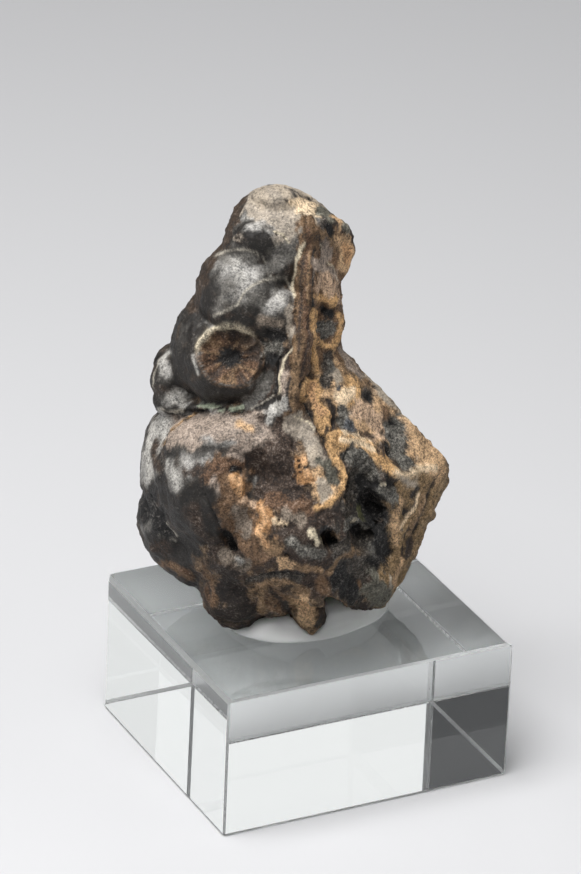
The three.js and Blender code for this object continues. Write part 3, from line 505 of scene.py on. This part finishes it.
    ("crust", 1.4, 0.9, 0, [(-16.2, 24.8), (-13.2, 23.6)]),
    ("crust_brown", 0.35, 0.35, 0, [(-17.2, 36.6), (-17.4, 34.5), (-16.9, 33.1)]),
    ("seam", 0.094, 0.12, 0.15, [(-16.0, 26.8), (-15.3, 26.0), (-14.7, 25.2)]),
    ("seam", 0.094, 0.12, 0.15, [(-17.1, 25.2), (-16.0, 24.9), (-14.8, 24.7)]),
    ("gray_crust_and_sheen", 0.47, 0.35, 0, [(-18.8, 26.0), (-17.9, 26.4)]),
    ("black", 0.82, 0.47, -0.1, [(-16.9, 26.7), (-16.0, 25.5)]),
    ("dark_brown", 0.71, 0.6, 0, [(-17.2, 23.9), (-15.8, 23.6)]),
]


def seen(point):
    """A point given as across, up the face and in front of the block's middle, in the face frame."""
    across, rise, forward = point
    level = forward + (across * math.sin(FACE_ROLL) + rise) * math.sin(FACE_NOD)
    return np.array([across, rise, level / math.cos(FACE_NOD)])


def lump(p, middle, radii, turn):
    """Distance to an ellipsoid turned in the face plane: n (n - 1) / s, with n the length of the
    offset over the radii and s its length over the radii squared."""
    q = p - seen(middle)
    cos, sin = math.cos(math.radians(turn)), math.sin(math.radians(turn))
    a = q[:, 0] * cos + q[:, 1] * sin
    b = q[:, 1] * cos - q[:, 0] * sin
    aa, bb, cc = a * a, b * b, q[:, 2] ** 2
    ra, rb, rc = (r * r for r in radii)
    near = np.sqrt(aa / ra + bb / rb + cc / rc) + 1e-9
    steep = np.sqrt(aa / ra ** 2 + bb / rb ** 2 + cc / rc ** 2) + 1e-9
    return near * (near - 1) / steep


def plane(points, inner):
    """Unit normal and offset of the plane through three points, facing away from the inner one."""
    a, b, c = (seen(q) for q in points)
    normal = np.cross(b - a, c - a)
    normal /= np.linalg.norm(normal)
    offset = normal @ a
    return (normal, offset) if seen(inner) @ normal < offset else (-normal, -offset)


def past(p, face):
    """How far each point lies past a plane given by its normal and offset."""
    normal, offset = face
    return p @ normal - offset


def soft_min(a, b, soft):
    """Lesser of two distances, rounded over a width of soft."""
    h = np.clip(0.5 + 0.5 * (b - a) / soft, 0, 1)
    return b + (a - b) * h - soft * h * (1 - h)


def soft_max(a, b, soft):
    """Greater of two distances, rounded over a width of soft."""
    return -soft_min(-a, -b, soft)


def unevenness(p):
    """Sum of eight sine waves of different directions, each swayed by another sine."""
    total = 0
    for a, b, c, start in ROUGH_WAVES:
        sway = 0.8 * np.sin(p[:, 1] * 0.7 + p[:, 0] * 0.4 + start)
        total = total + np.sin(p @ (a, b, c) + start + sway) / math.sqrt(a * a + b * b + c * c)
    return total / 3


WING_PLANES = [plane(points, WING_INSIDE) for points in WING_FACES]
BREAK_PLANE = plane(BREAK_FACE, BREAK_INSIDE)


def joined(p, lumps, skin=None):
    """Distance to lumps joined softly one after another, onto a skin where there is one."""
    for _, middle, radii, turn, soft, _ in lumps:
        d = lump(p, middle, radii, turn)
        skin = d if skin is None else soft_min(skin, d, soft)
    return skin


def nodule(p):
    """Signed distance to the nodule's skin: lumps joined softly, cut by the broken faces and the
    hollows, plus the slow unevenness."""
    broken = past(p, BREAK_PLANE) + BREAK_WAVE * np.sin(p[:, 1] * BREAK_WAVE_TURN + 1.0)
    top = soft_max(joined(p, UPPER_LUMPS), broken, BREAK_EDGE)
    top = joined(p, RIDGE_LUMPS, top)
    wing = lump(p, *WING_BULK)
    for face in WING_PLANES:
        wing = soft_max(wing, past(p, face), WING_EDGE)
    skin = soft_min(joined(p, LOWER_LUMPS), wing, WING_JOIN)
    skin = soft_min(skin, top, WAIST_JOIN)
    skin = joined(p, BACK_LUMPS, skin)
    for _, middle, radii, turn, soft in HOLLOWS:
        skin = soft_max(skin, -lump(p, middle, radii, turn), soft)
    return skin + ROUGH_HEIGHT * unevenness(p)


# Random values that the noise reads at whole points, picked by these multipliers
LATTICE_SIZE = 4096
LATTICE = np.random.default_rng(SEED).random(LATTICE_SIZE) * 2 - 1
LATTICE_KEY = np.array([73856093, 19349663, 83492791])


def noise(p, scale, shift=0.0):
    """Smooth noise from -1 to 1: random values at whole points, blended over each cell by the
    curve t^3 (t (6 t - 15) + 10)."""
    q = p * scale + shift
    cell = np.floor(q).astype(np.int64)
    t = q - cell
    t = t ** 3 * (t * (6 * t - 15) + 10)
    total = 0
    for corner in range(8):
        bits = np.array([corner & 1, corner >> 1 & 1, corner >> 2 & 1])
        key = (cell + bits) * LATTICE_KEY
        value = LATTICE[(key[:, 0] ^ key[:, 1] ^ key[:, 2]) % LATTICE_SIZE]
        total = total + value * np.prod(np.where(bits, t, 1 - t), axis=1)
    return total


def layered(p, scale, layers, shift=0.0):
    """Noise of ever finer scale, each layer twice as fine and half as strong."""
    return sum(noise(p, scale * 2 ** k, shift + 17.3 * k) * 0.5 ** k for k in range(layers))


def ease(value, low, high):
    """0 below low, 1 above high and a smooth step between."""
    t = np.clip((value - low) / (high - low), 0, 1)
    return t * t * (3 - 2 * t)


def ball_grid(cells, lean):
    """A cube's six faces, cells by cells, swelled onto a ball, with its points drawn towards
    the show face by a lean: unit directions and quads."""
    line = np.tan(np.linspace(-math.pi / 4, math.pi / 4, cells + 1))
    u, v = np.meshgrid(line, line, indexing="ij")
    one = np.ones_like(u)
    sides = [(one, u, v), (-one, v, u), (v, one, u), (u, -one, v), (u, v, one), (v, u, -one)]
    points = np.concatenate([np.stack(side, -1).reshape(-1, 3) for side in sides])
    n = cells + 1
    i, j = np.meshgrid(np.arange(cells), np.arange(cells), indexing="ij")
    corner = (i * n + j).ravel()
    quad = np.stack([corner, corner + n, corner + n + 1, corner + 1], -1)
    quads = np.concatenate([quad + k * n * n for k in range(6)])
    keys = np.round(points * 1e6).astype(np.int64)
    _, first, same = np.unique(keys, axis=0, return_index=True, return_inverse=True)
    quads = same.ravel()[quads]
    points = points[first] / np.linalg.norm(points[first], axis=1)[:, None] + (0, 0, lean)
    return points / np.linalg.norm(points, axis=1)[:, None], quads


def settle(p):
    """One step of each point down the slope of the nodule's distance to where it is 0, and the
    normals that the slope gives. The slope is the change over a short way along each axis."""
    here = nodule(p)
    gradient = np.stack([nodule(p + SLOPE_STEP * axis) - here for axis in np.eye(3)], -1) / SLOPE_STEP
    steep = np.maximum((gradient ** 2).sum(1), LEAST_SLOPE)
    step = np.clip(here / steep, -SETTLE_REACH, SETTLE_REACH)
    normal = gradient / np.linalg.norm(gradient, axis=1)[:, None]
    return p - gradient * step[:, None], normal


def nodule_skin():
    """Points of a ball grid sent out from the core line until they meet the nodule, then
    evened out along it: each moves towards the mean of its neighbours, less its own normal."""
    aim, quads = ball_grid(SKIN_CELLS, SKIN_LEAN)
    low, high = seen(CORE_LOW), seen(CORE_HIGH)
    start = low + (high - low) * (aim[:, 1:2] + 1) / 2
    reach = np.zeros(len(aim))
    for _ in range(SEND_STEPS):
        inside = -nodule(start + aim * reach[:, None])
        reach += np.clip(inside * SEND_SHARE, -SEND_BACK, SEND_ON)
    p = start + aim * reach[:, None]
    ends = np.concatenate([quads[:, [0, 1]], quads[:, [1, 2]], quads[:, [2, 3]], quads[:, [3, 0]]])
    count = np.bincount(ends[:, 0], minlength=len(p))
    for _ in range(EVEN_ROUNDS):
        p, normal = settle(p)
        mean = np.stack([np.bincount(ends[:, 0], p[ends[:, 1], k], len(p)) for k in range(3)], -1)
        shift = mean / count[:, None] - p
        shift -= normal * (shift * normal).sum(1)[:, None]
        p = p + EVEN_SHARE * shift
    p, _ = settle(p)
    p, normal = settle(p)
    return p, normal, quads


def path_distance(x, y, path):
    """Distance in the face plane from each point to a bent line, or to a dot."""
    ax, ay = path[0]
    nearest = np.hypot(x - ax, y - ay)
    for bx, by in path[1:]:
        dx, dy = bx - ax, by - ay
        t = np.clip(((x - ax) * dx + (y - ay) * dy) / (dx * dx + dy * dy), 0, 1)
        nearest = np.minimum(nearest, np.hypot(x - ax - t * dx, y - ay - t * dy))
        ax, ay = bx, by
    return nearest


def linear(colour):
    """Colour as seen, 0 to 255, to linear light."""
    c = np.array(colour) / 255
    return np.where(c < 0.04045, c / 12.92, ((c + 0.055) / 1.055) ** 2.4)


def crust_share(p):
    """1 where the nearest lump is glossy crust, 0 where it is broken stone, with a soft edge."""
    stone = np.maximum.reduce([lump(p, *WING_BULK)] + [past(p, face) for face in WING_PLANES])
    crust = np.full(len(p), np.inf)
    for _, middle, radii, turn, _, glossy in UPPER_LUMPS + RIDGE_LUMPS + LOWER_LUMPS + BACK_LUMPS:
        d = lump(p, middle, radii, turn)
        if glossy:
            crust = np.minimum(crust, d)
        else:
            stone = np.minimum(stone, d)
    upper = ease(p[:, 1], 38.0, 40.0)
    broken = upper * ease(past(p, BREAK_PLANE), -0.5, -0.1)
    return ease(stone - crust, -0.1, 0.35) * (1 - broken)


def finish_skin(p, normal):
    """Colour, gloss and crumble of every point: crust or broken stone first, with painted sheen on
    the crust where it faces the top light's highlight, then the painted places of the show face
    with their edges wandering by noise. It also gives each point's height in mm over the skin."""
    fields = np.zeros((len(p), 5))

    def blend(share, name):
        colour, shine, rough = FINISHES[name]
        share = share[:, None]
        fields[:] = fields * (1 - share) + share * np.array([*linear(colour), shine, rough])

    facing = ease(normal[:, 2], -0.15, 0.12)
    blend(np.ones(len(p)), "dark_brown")
    behind = 1 - 0.6 * facing
    blend(0.6 * behind * ease(layered(p, 0.35, 3), 0.0, 0.35), "side")
    blend(0.5 * behind * ease(layered(p, 0.5, 3, 40.0), 0.15, 0.4), "tan")
    blend(0.7 * ease(layered(p, 0.55, 3, 80.0), 0.2, 0.45), "black_brown")
    crust = crust_share(p)
    blend(crust, "crust")
    blend(crust * 0.7 * ease(layered(p, 0.8, 4, 120.0), 0.0, 0.6), "crust_brown")
    # Painted sheen: the crust turns gray and then pale where it faces the top light's highlight, with a
    # little noise
    sheen_facing = np.maximum(normal @ SHEEN_SIDE, 0.96 * normal @ SHEEN_BACK)
    sheen_facing += 0.05 * layered(p, 0.9, 3, 160.0)
    blend(crust * 0.5 * ease(sheen_facing, 0.45, 0.95), "gray_crust_and_sheen")
    blend(crust * ease(sheen_facing, 0.72, 1.08), "haze_and_painted_sheen")

    wander_x = WANDER * layered(p, 0.8, 3, 3.0)
    wander_y = WANDER * layered(p, 0.8, 3, 51.0)
    patchy = PATCHY * layered(p, 1.0, 3, 91.0)
    lift = np.zeros(len(p))
    for name, half, soft, height, path in PLACES:
        loose = min(1.0, half / BROAD)
        away = path_distance(p[:, 0] + loose * wander_x, p[:, 1] + loose * wander_y, path)
        edge = half * (1 + loose * patchy)
        share = facing * (1 - ease(away, edge - soft / 2, edge + soft / 2))
        blend(share, name)
        lift += height * share
    lift += finish_eye(p, facing, blend)
    return fields, lift


def finish_eye(p, facing, blend):
    """The broken disc at the front of the eye: brown fibres running out from a dark middle,
    painted shade darkening the disc's upper part under its rim, a low cream rim over its top,
    and the height of it all. The ratio is 1 on the disc's edge."""
    cos, sin = math.cos(EYE_TURN), math.sin(EYE_TURN)
    x = ((p[:, 0] - EYE_MIDDLE[0]) * cos + (p[:, 1] - EYE_MIDDLE[1]) * sin) / EYE_RADII[0]
    y = ((p[:, 1] - EYE_MIDDLE[1]) * cos - (p[:, 0] - EYE_MIDDLE[0]) * sin) / EYE_RADII[1]
    ratio = np.hypot(x, y) + 0.04 * layered(p, 0.9, 2, 15.0)
    around = np.stack([x, y, 0.16 * ratio ** 2], -1) / (ratio[:, None] + 0.05)
    fibres = layered(around, 7.0, 2, 21.0)
    disc = facing * (1 - ease(ratio, 0.95, 1.03))
    blend(disc, "rust")
    blend(disc * ease(fibres, 0.0, 0.5) * 0.8, "light_brown")
    blend(disc * ease(-fibres, 0.1, 0.6) * 0.8, "black_brown")
    # Painted shade: the disc's upper part darkened, as under its overhanging rim
    blend(disc * ease(y + 0.3 * x, 0.25, 0.85) * 0.75, "black_brown")
    blend(disc * (1 - ease(ratio + 0.12 * fibres, 0.28, 0.55)), "black")
    top = ease(y - 0.8 * x, 0.4, 0.9)
    rim = np.exp(-((ratio - 1.09) / (0.04 + 0.05 * top)) ** 2)
    blend(facing * rim * top, "cream")
    blend(facing * rim * (1 - top) * 0.5, "brown")
    height = 0.14 * fibres * disc - 0.5 * (1 - ease(ratio, 0.0, 0.45))
    return facing * (height + (0.08 + 0.2 * top) * rim)


def add_mesh(name, points, faces, smooth):
    """A mesh object at the origin from points in metres and a list of faces."""
    mesh = bpy.data.meshes.new(name)
    mesh.from_pydata(points.tolist(), [], faces)
    mesh.polygons.foreach_set("use_smooth", np.full(len(mesh.polygons), smooth))
    mesh.update()
    piece = bpy.data.objects.new(name, mesh)
    bpy.context.scene.collection.objects.link(piece)
    return piece


def to_block(p):
    """Points from the face frame in mm to the block's frame in metres."""
    return p @ FACE_BASIS * MM


def to_face(p):
    """Points from the block's frame in mm to the face frame."""
    return p @ FACE_BASIS.T


def new_material(name):
    """A material with its own principled shader."""
    material = bpy.data.materials.new(name)
    material.use_nodes = True
    return material, material.node_tree.nodes["Principled BSDF"]


def stone_material():
    """Skin of the nodule: painted colour broken up by noise, gloss on the crust and bumps that
    grow with the crumble."""
    material, shader = new_material("nodule skin")
    nodes, links = material.node_tree.nodes, material.node_tree.links

    def attribute(name):
        node = nodes.new("ShaderNodeAttribute")
        node.attribute_name = name
        return node

    def texture(scale, detail, roughness):
        node = nodes.new("ShaderNodeTexNoise")
        node.inputs["Scale"].default_value = scale
        node.inputs["Detail"].default_value = detail
        node.inputs["Roughness"].default_value = roughness
        links.new(place.outputs["Object"], node.inputs["Vector"])
        return node.outputs["Fac"]

    def spread(value, low, high, to_low, to_high):
        node = nodes.new("ShaderNodeMapRange")
        node.inputs["From Min"].default_value = low
        node.inputs["From Max"].default_value = high
        node.inputs["To Min"].default_value = to_low
        node.inputs["To Max"].default_value = to_high
        links.new(value, node.inputs["Value"])
        return node.outputs["Result"]

    def calculate(operation, a, b):
        node = nodes.new("ShaderNodeMath")
        node.operation = operation
        for slot, value in zip(node.inputs, (a, b)):
            if isinstance(value, float):
                slot.default_value = value
            else:
                links.new(value, slot)
        return node.outputs["Value"]

    def add(a, b):
        return calculate("ADD", a, b)

    def swung(value, factor):
        """Noise about its middle of a half, times a factor."""
        return calculate("MULTIPLY", calculate("SUBTRACT", value, 0.5), factor)

    # Noise of about 2, 0.5 and 0.25 mm, which darkens and lightens the painted colour
    place = nodes.new("ShaderNodeTexCoord")
    colour = attribute("colour").outputs["Color"]
    shine = attribute("shine").outputs["Fac"]
    crumble = attribute("crumble").outputs["Fac"]

    mottle = texture(450, 4, 0.6)
    grain = texture(1900, 5, 0.7)
    speck = texture(4200, 3, 0.7)
    swing = add(swung(mottle, 2.4), add(swung(grain, 3.4), swung(speck, 5.0)))
    swing = calculate("MULTIPLY", swing, spread(crumble, 0.0, 1.0, 0.4, 1.3))
    gain = calculate("MINIMUM", calculate("MAXIMUM", add(swing, 1.0), 0.3), 4.0)
    tint = nodes.new("ShaderNodeVectorMath")
    tint.operation = "SCALE"
    links.new(colour, tint.inputs[0])
    links.new(gain, tint.inputs["Scale"])
    # The brightest specks, up to four times the colour, are paled towards a light gray: partly the
    # grain's own lighter tone, partly painted glints of its facets
    pale = nodes.new("ShaderNodeMix")
    pale.data_type = "RGBA"
    links.new(spread(gain, 1.4, 3.0, 0.0, 0.5), pale.inputs[0])
    links.new(tint.outputs["Vector"], pale.inputs[6])
    pale.inputs[7].default_value = (0.45, 0.42, 0.38, 1)
    links.new(pale.outputs[2], shader.inputs["Base Color"])

    # Roughness, from the dull broken stone to the glossy crust
    dull = spread(shine, 0.0, 1.0, 0.76, 0.34)
    links.new(add(dull, swung(grain, 0.4)), shader.inputs["Roughness"])
    shader.inputs["Specular IOR Level"].default_value = 0.4
    shader.inputs["IOR"].default_value = 1.5

    # Bumps: noise, depth in mm, and strength where the skin is whole and where it crumbles
    normal = None
    bumps = ((speck, 0.1, 0.35, 1.0), (grain, 0.4, 0.22, 1.0), (mottle, 0.4, 0.2, 0.8))
    for height, depth, low, high in bumps:
        bump = nodes.new("ShaderNodeBump")
        bump.inputs["Distance"].default_value = depth * MM
        links.new(spread(crumble, 0.0, 1.0, low, high), bump.inputs["Strength"])
        links.new(height, bump.inputs["Height"])
        if normal:
            links.new(normal, bump.inputs["Normal"])
        normal = bump.outputs["Normal"]
    links.new(normal, shader.inputs["Normal"])
    return material


def add_nodule():
    """The nodule: its skin, pushed out and in by finer relief where it is crumbled, and its
    painted finish kept in attributes."""
    p, normal, quads = nodule_skin()
    fields, relief = finish_skin(p, normal)
    shine, rough = fields[:, 3], fields[:, 4]

    # Heights in mm: broad swells, finer knobs of crumbled stone, and a faint unrest of the gloss
    relief += 0.30 * layered(p, 0.8, 2, 5.0) * (0.1 + rough)
    relief += 0.22 * layered(p, 1.7, 2, 31.0) * rough
    relief += 0.02 * layered(p, 1.6, 2, 63.0) * shine
    p = p + normal * relief[:, None]
    piece = add_mesh("nodule", to_block(p), quads.tolist(), smooth=True)
    mesh = piece.data
    colour = mesh.attributes.new("colour", "FLOAT_COLOR", "POINT")
    colour.data.foreach_set("color", np.column_stack([fields[:, :3], np.ones(len(p))]).ravel())
    for name, values in (("shine", shine), ("crumble", rough)):
        mesh.attributes.new(name, "FLOAT", "POINT").data.foreach_set("value", values)
    mesh.materials.append(stone_material())
    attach(piece, "root")
    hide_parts("cassiterite")


# Tack, in mm: its middle over the block, how high it rises, the gap that it keeps to the
# nodule, and how far its foot and its pressed-in top stay over the block. Then the share by
# which it swells, the points round it, and the rounds and share in which it is pressed down
TACK_MIDDLE = (1.0, 0.4)
TACK_RISE = 4.6
TACK_GAP = 0.06
TACK_FOOT = 0.02
TACK_THIN = 0.03
TACK_SWELL = 0.07
TACK_TURNS = 120
PRESS_ROUNDS = 40
PRESS_SHARE = 0.7

# How far the tack reaches from its middle at each angle, counted from the show face's right
TACK_REACH = [
    (0, 9.4), (18, 9.3), (40, 8.2), (65, 8.3), (90, 8.5), (115, 8.9), (140, 9.6), (165, 10.7),
    (190, 11.7), (212, 12.8), (223, 13.1), (245, 12.0), (262, 10.6), (283, 9.4), (311, 8.5),
    (342, 9.1), (360, 9.4),
]

# Outline of the tack from the middle of its foot round its rim to the middle of its top, as
# shares of its reach and rise
TACK_PROFILE = np.array([
    (0.6, 0.0), (0.93, 0.0), (0.97, 0.04), (0.992, 0.12), (1.0, 0.24), (0.996, 0.36), (0.98, 0.48),
    (0.955, 0.6), (0.92, 0.7), (0.87, 0.79), (0.81, 0.86), (0.74, 0.91), (0.66, 0.945),
    (0.57, 0.97), (0.48, 0.985), (0.38, 0.993), (0.28, 0.998), (0.18, 1.0), (0.09, 1.0),
])
BLOCK_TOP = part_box("acrylic_block")[1][2] / MM


def tack_material():
    """Milky clear putty: light passes through, softened, with a faint green cast."""
    material, shader = new_material("mineral tack")
    shader.inputs["Base Color"].default_value = (0.95, 0.98, 0.93, 1)
    shader.inputs["Roughness"].default_value = 0.06
    shader.inputs["IOR"].default_value = 1.5
    shader.inputs["Transmission Weight"].default_value = 0.12
    shader.inputs["Subsurface Weight"].default_value = 0.7
    shader.inputs["Subsurface Radius"].default_value = (0.9, 1.0, 0.9)
    shader.inputs["Subsurface Scale"].default_value = 0.005
    return material


def add_tack():
    """A cushion on a polar grid: rings of the profile, each swung round by the reach at every
    angle. Its top swells by slow noise, and where the nodule is pressed in it is let down until
    it stands just clear of the nodule's skin."""
    angle = np.arange(TACK_TURNS) * 2 * math.pi / TACK_TURNS
    reach = np.interp(np.degrees(angle), *np.array(TACK_REACH).T)
    for _ in range(4):
        reach = (np.roll(reach, 1) + 2 * reach + np.roll(reach, -1)) / 4
    out = TACK_PROFILE[:, :1] * reach
    x = TACK_MIDDLE[0] + out * np.cos(angle + FACE_TURN)
    y = TACK_MIDDLE[1] + out * np.sin(angle + FACE_TURN)
    foot = BLOCK_TOP + TACK_FOOT
    z = foot + np.repeat(TACK_PROFILE[:, 1:] * TACK_RISE, TACK_TURNS, axis=1)
    ends = [(*TACK_MIDDLE, foot), (*TACK_MIDDLE, foot + TACK_RISE)]
    p = np.concatenate([np.stack([x, y, z], -1).reshape(-1, 3), ends])

    share = TACK_SWELL * (1 + layered(p, 0.22, 2, 200.0))
    share = share * ease(p[:, 2], BLOCK_TOP + 0.3, BLOCK_TOP + 1.5)
    p[:, :2] -= (p[:, :2] - TACK_MIDDLE) * share[:, None]
    p[:, 2] -= (p[:, 2] - BLOCK_TOP) * share
    thin = BLOCK_TOP + TACK_THIN
    top = p[:, 2] > thin
    for _ in range(PRESS_ROUNDS):
        clear = nodule(to_face(p[top]))
        p[top, 2] = np.maximum(thin, p[top, 2] + np.minimum(0, clear - TACK_GAP) * PRESS_SHARE)

    rings = len(TACK_PROFILE)
    ring, step = np.meshgrid(np.arange(rings - 1), np.arange(TACK_TURNS), indexing="ij")
    corner = (ring * TACK_TURNS + step).ravel()
    beside = (ring * TACK_TURNS + (step + 1) % TACK_TURNS).ravel()
    faces = np.stack([corner, beside, beside + TACK_TURNS, corner + TACK_TURNS], -1).tolist()
    last = (rings - 1) * TACK_TURNS
    low, high = len(p) - 2, len(p) - 1
    for k in range(TACK_TURNS):
        after = (k + 1) % TACK_TURNS
        faces.append((low, after, k))
        faces.append((high, last + k, last + after))
    piece = add_mesh("tack", p * MM, faces, smooth=True)
    piece.data.materials.append(tack_material())
    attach(piece, "root")
    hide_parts("mineral_tack")


def acrylic_material(name, roughness, clear, grain, depth):
    """Clear acrylic. The grain gives how fine its saw or mill lines are along each axis, and
    the depth, in mm, how deep they are cut; a rougher cut scatters some light."""
    material, shader = new_material(name)
    nodes, links = material.node_tree.nodes, material.node_tree.links
    shader.inputs["Base Color"].default_value = (0.96, 0.985, 0.975, 1)
    shader.inputs["Roughness"].default_value = roughness
    shader.inputs["IOR"].default_value = 1.49
    shader.inputs["Transmission Weight"].default_value = clear
    if depth:
        place = nodes.new("ShaderNodeTexCoord")
        stretch = nodes.new("ShaderNodeMapping")
        stretch.inputs["Scale"].default_value = grain
        links.new(place.outputs["Object"], stretch.inputs["Vector"])
        lines = nodes.new("ShaderNodeTexNoise")
        lines.inputs["Scale"].default_value = 1
        lines.inputs["Detail"].default_value = 3
        links.new(stretch.outputs["Vector"], lines.inputs["Vector"])
        ridge = nodes.new("ShaderNodeBump")
        ridge.inputs["Strength"].default_value = 1.0
        ridge.inputs["Distance"].default_value = depth * MM
        links.new(lines.outputs["Fac"], ridge.inputs["Height"])
        links.new(ridge.outputs["Normal"], shader.inputs["Normal"])
    return material


# Width in mm of the sawn cut along each edge of the block, by the axis that the edge runs
# along and the side it is on, counted along the next two axes
EDGE_CUTS = {
    (0, -1, -1): 0.3, (0, 1, -1): 0.3, (0, 1, 1): 0.7, (0, -1, 1): 0.25,
    (1, -1, -1): 0.3, (1, -1, 1): 0.3, (1, 1, -1): 0.5, (1, 1, 1): 1.0,
    (2, -1, -1): 0.25, (2, 1, -1): 0.35, (2, 1, 1): 0.5, (2, -1, 1): 1.4,
}


def add_block():
    """The acrylic block: a box with every edge cut off. Each corner has three points, one on
    each face, drawn in from the face's two edges by their cuts."""
    low, high = (np.array(corner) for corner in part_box("acrylic_block"))
    half = (high - low) / 2
    middle = (high + low) / 2
    signs = [(sx, sy, sz) for sx in (-1, 1) for sy in (-1, 1) for sz in (-1, 1)]
    points = []
    for axis in range(3):
        for s in signs:
            inset = np.zeros(3)
            for along in range(3):
                b, c = (along + 1) % 3, (along + 2) % 3
                if along != axis:
                    inset[3 - axis - along] = EDGE_CUTS[along, s[b], s[c]] * MM
            points.append(middle + np.array(s) * (half - inset))
    corner = {s: i for i, s in enumerate(signs)}
    tops, walls, edges, tips = [], [], [], []
    for axis in range(3):
        b, c = (axis + 1) % 3, (axis + 2) % 3
        for side in (-1, 1):
            ring = []
            for sb, sc in ((-1, -1), (1, -1), (1, 1), (-1, 1)):
                s = [0, 0, 0]
                s[axis], s[b], s[c] = side, sb, sc
                ring.append(axis * 8 + corner[tuple(s)])
            (tops if axis == 2 else walls).append(ring if side > 0 else ring[::-1])
        for sb in (-1, 1):
            for sc in (-1, 1):
                start, end = [0, 0, 0], [0, 0, 0]
                start[axis], start[b], start[c] = -1, sb, sc
                end[axis], end[b], end[c] = 1, sb, sc
                start, end = corner[tuple(start)], corner[tuple(end)]
                ring = [b * 8 + start, b * 8 + end, c * 8 + end, c * 8 + start]
                edges.append(ring if sb * sc < 0 else ring[::-1])
    for i, s in enumerate(signs):
        ring = [i, 8 + i, 16 + i]
        tips.append(ring if s[0] * s[1] * s[2] > 0 else ring[::-1])
    piece = add_mesh("block", np.array(points), tops + walls + edges + tips, smooth=False)
    mesh = piece.data
    mesh.materials.append(acrylic_material("polished acrylic", 0.0, 1.0, (1, 1, 1), 0.0))
    mesh.materials.append(acrylic_material("milled acrylic", 0.005, 1.0, (700, 700, 5), 0.0003))
    mesh.materials.append(acrylic_material("sawn acrylic", 0.4, 0.8, (1200, 1200, 1200), 0.15))
    finish = [0] * len(tops) + [1] * len(walls) + [2] * (len(edges) + len(tips))
    mesh.polygons.foreach_set("material_index", finish)
    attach(piece, "root")
    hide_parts("acrylic_block")


# Stage, in metres: half the floor's width, how far it lies under the block, the point that the
# lights face, and how far away the white cards stand
FLOOR_HALF = 3
FLOOR_DROP = 0.0001
LIGHT_AIM = (0, 0, 0.045)
CARD_DISTANCE = 0.6


def add_light(name, place, size, watts):
    """A soft light of a width and height at a place, turned to face the stone."""
    light = bpy.data.lights.new(name, "AREA")
    light.shape = "RECTANGLE"
    light.size, light.size_y = size
    light.energy = watts
    holder = bpy.data.objects.new(name, light)
    bpy.context.scene.collection.objects.link(holder)
    back = np.subtract(place, LIGHT_AIM)
    back /= np.linalg.norm(back)
    side = np.cross((0, 0, 1), back)
    side /= np.linalg.norm(side)
    set_basis(holder, side, np.cross(back, side), back, place)


def set_basis(holder, side, up, back, place):
    """Gives an object its three axes and its place."""
    rows = [[side[k], up[k], back[k], place[k]] for k in range(3)]
    holder.matrix_world = Matrix(rows + [[0, 0, 0, 1]])


def add_floor():
    """A plain pale floor, a hair under the block."""
    corners = [(-FLOOR_HALF, -FLOOR_HALF), (FLOOR_HALF, -FLOOR_HALF), (FLOOR_HALF, FLOOR_HALF),
               (-FLOOR_HALF, FLOOR_HALF)]
    points = np.array([(x, y, -FLOOR_DROP) for x, y in corners])
    floor = add_mesh("floor", points, [(0, 1, 2, 3)], smooth=False)
    material, shader = new_material("pale floor")
    shader.inputs["Base Color"].default_value = (0.56, 0.56, 0.57, 1)
    shader.inputs["Roughness"].default_value = 0.5
    floor.data.materials.append(material)


def add_lights():
    """Soft lights, the two white cards that show in the block's walls, and a pale surround."""
    card = CARD_DISTANCE * np.abs(OUT)
    add_light("top softbox", (-0.16, -0.06, 0.5), (0.36, 0.36), 4.6)
    add_light("left softbox", (-0.45, 0.10, 0.20), (0.16, 0.35), 0.45)
    add_light("white card behind", card, (0.22, 0.16), 0.09)
    add_light("white card in front", card * (1, -1, 1), (0.3, 0.2), 0.16)
    add_light("right fill", (0.45, -0.30, 0.25), (0.4, 0.4), 0.45)
    world = bpy.data.worlds.new("surround")
    world.use_nodes = True
    surround = world.node_tree.nodes["Background"]
    surround.inputs["Color"].default_value = (0.8, 0.82, 0.85, 1)
    surround.inputs["Strength"].default_value = 0.06
    bpy.context.scene.world = world
    bpy.context.scene.view_settings.view_transform = "Standard"


# Camera, in mm: distance along the view, how far its axis passes from the block's origin, and
# its lens and sensor
CAMERA_DISTANCE = 674.5
CAMERA_ACROSS = -1.35
CAMERA_RISE = 36.92
CAMERA_LENS = 226.9
CAMERA_SENSOR = 36.0


def add_camera():
    """The camera stands out along the show face's normal, rolled with the face."""
    data = bpy.data.cameras.new("camera")
    data.lens = CAMERA_LENS
    data.sensor_width = CAMERA_SENSOR
    camera = bpy.data.objects.new("camera", data)
    bpy.context.scene.collection.objects.link(camera)
    place = (OUT * CAMERA_DISTANCE + ACROSS * CAMERA_ACROSS + RISE * CAMERA_RISE) * MM
    set_basis(camera, ACROSS, RISE, OUT, place)
    bpy.context.scene.camera = camera


add_nodule()
add_tack()
add_block()
add_floor()
add_lights()
add_camera()

bpy.context.view_layer.update()
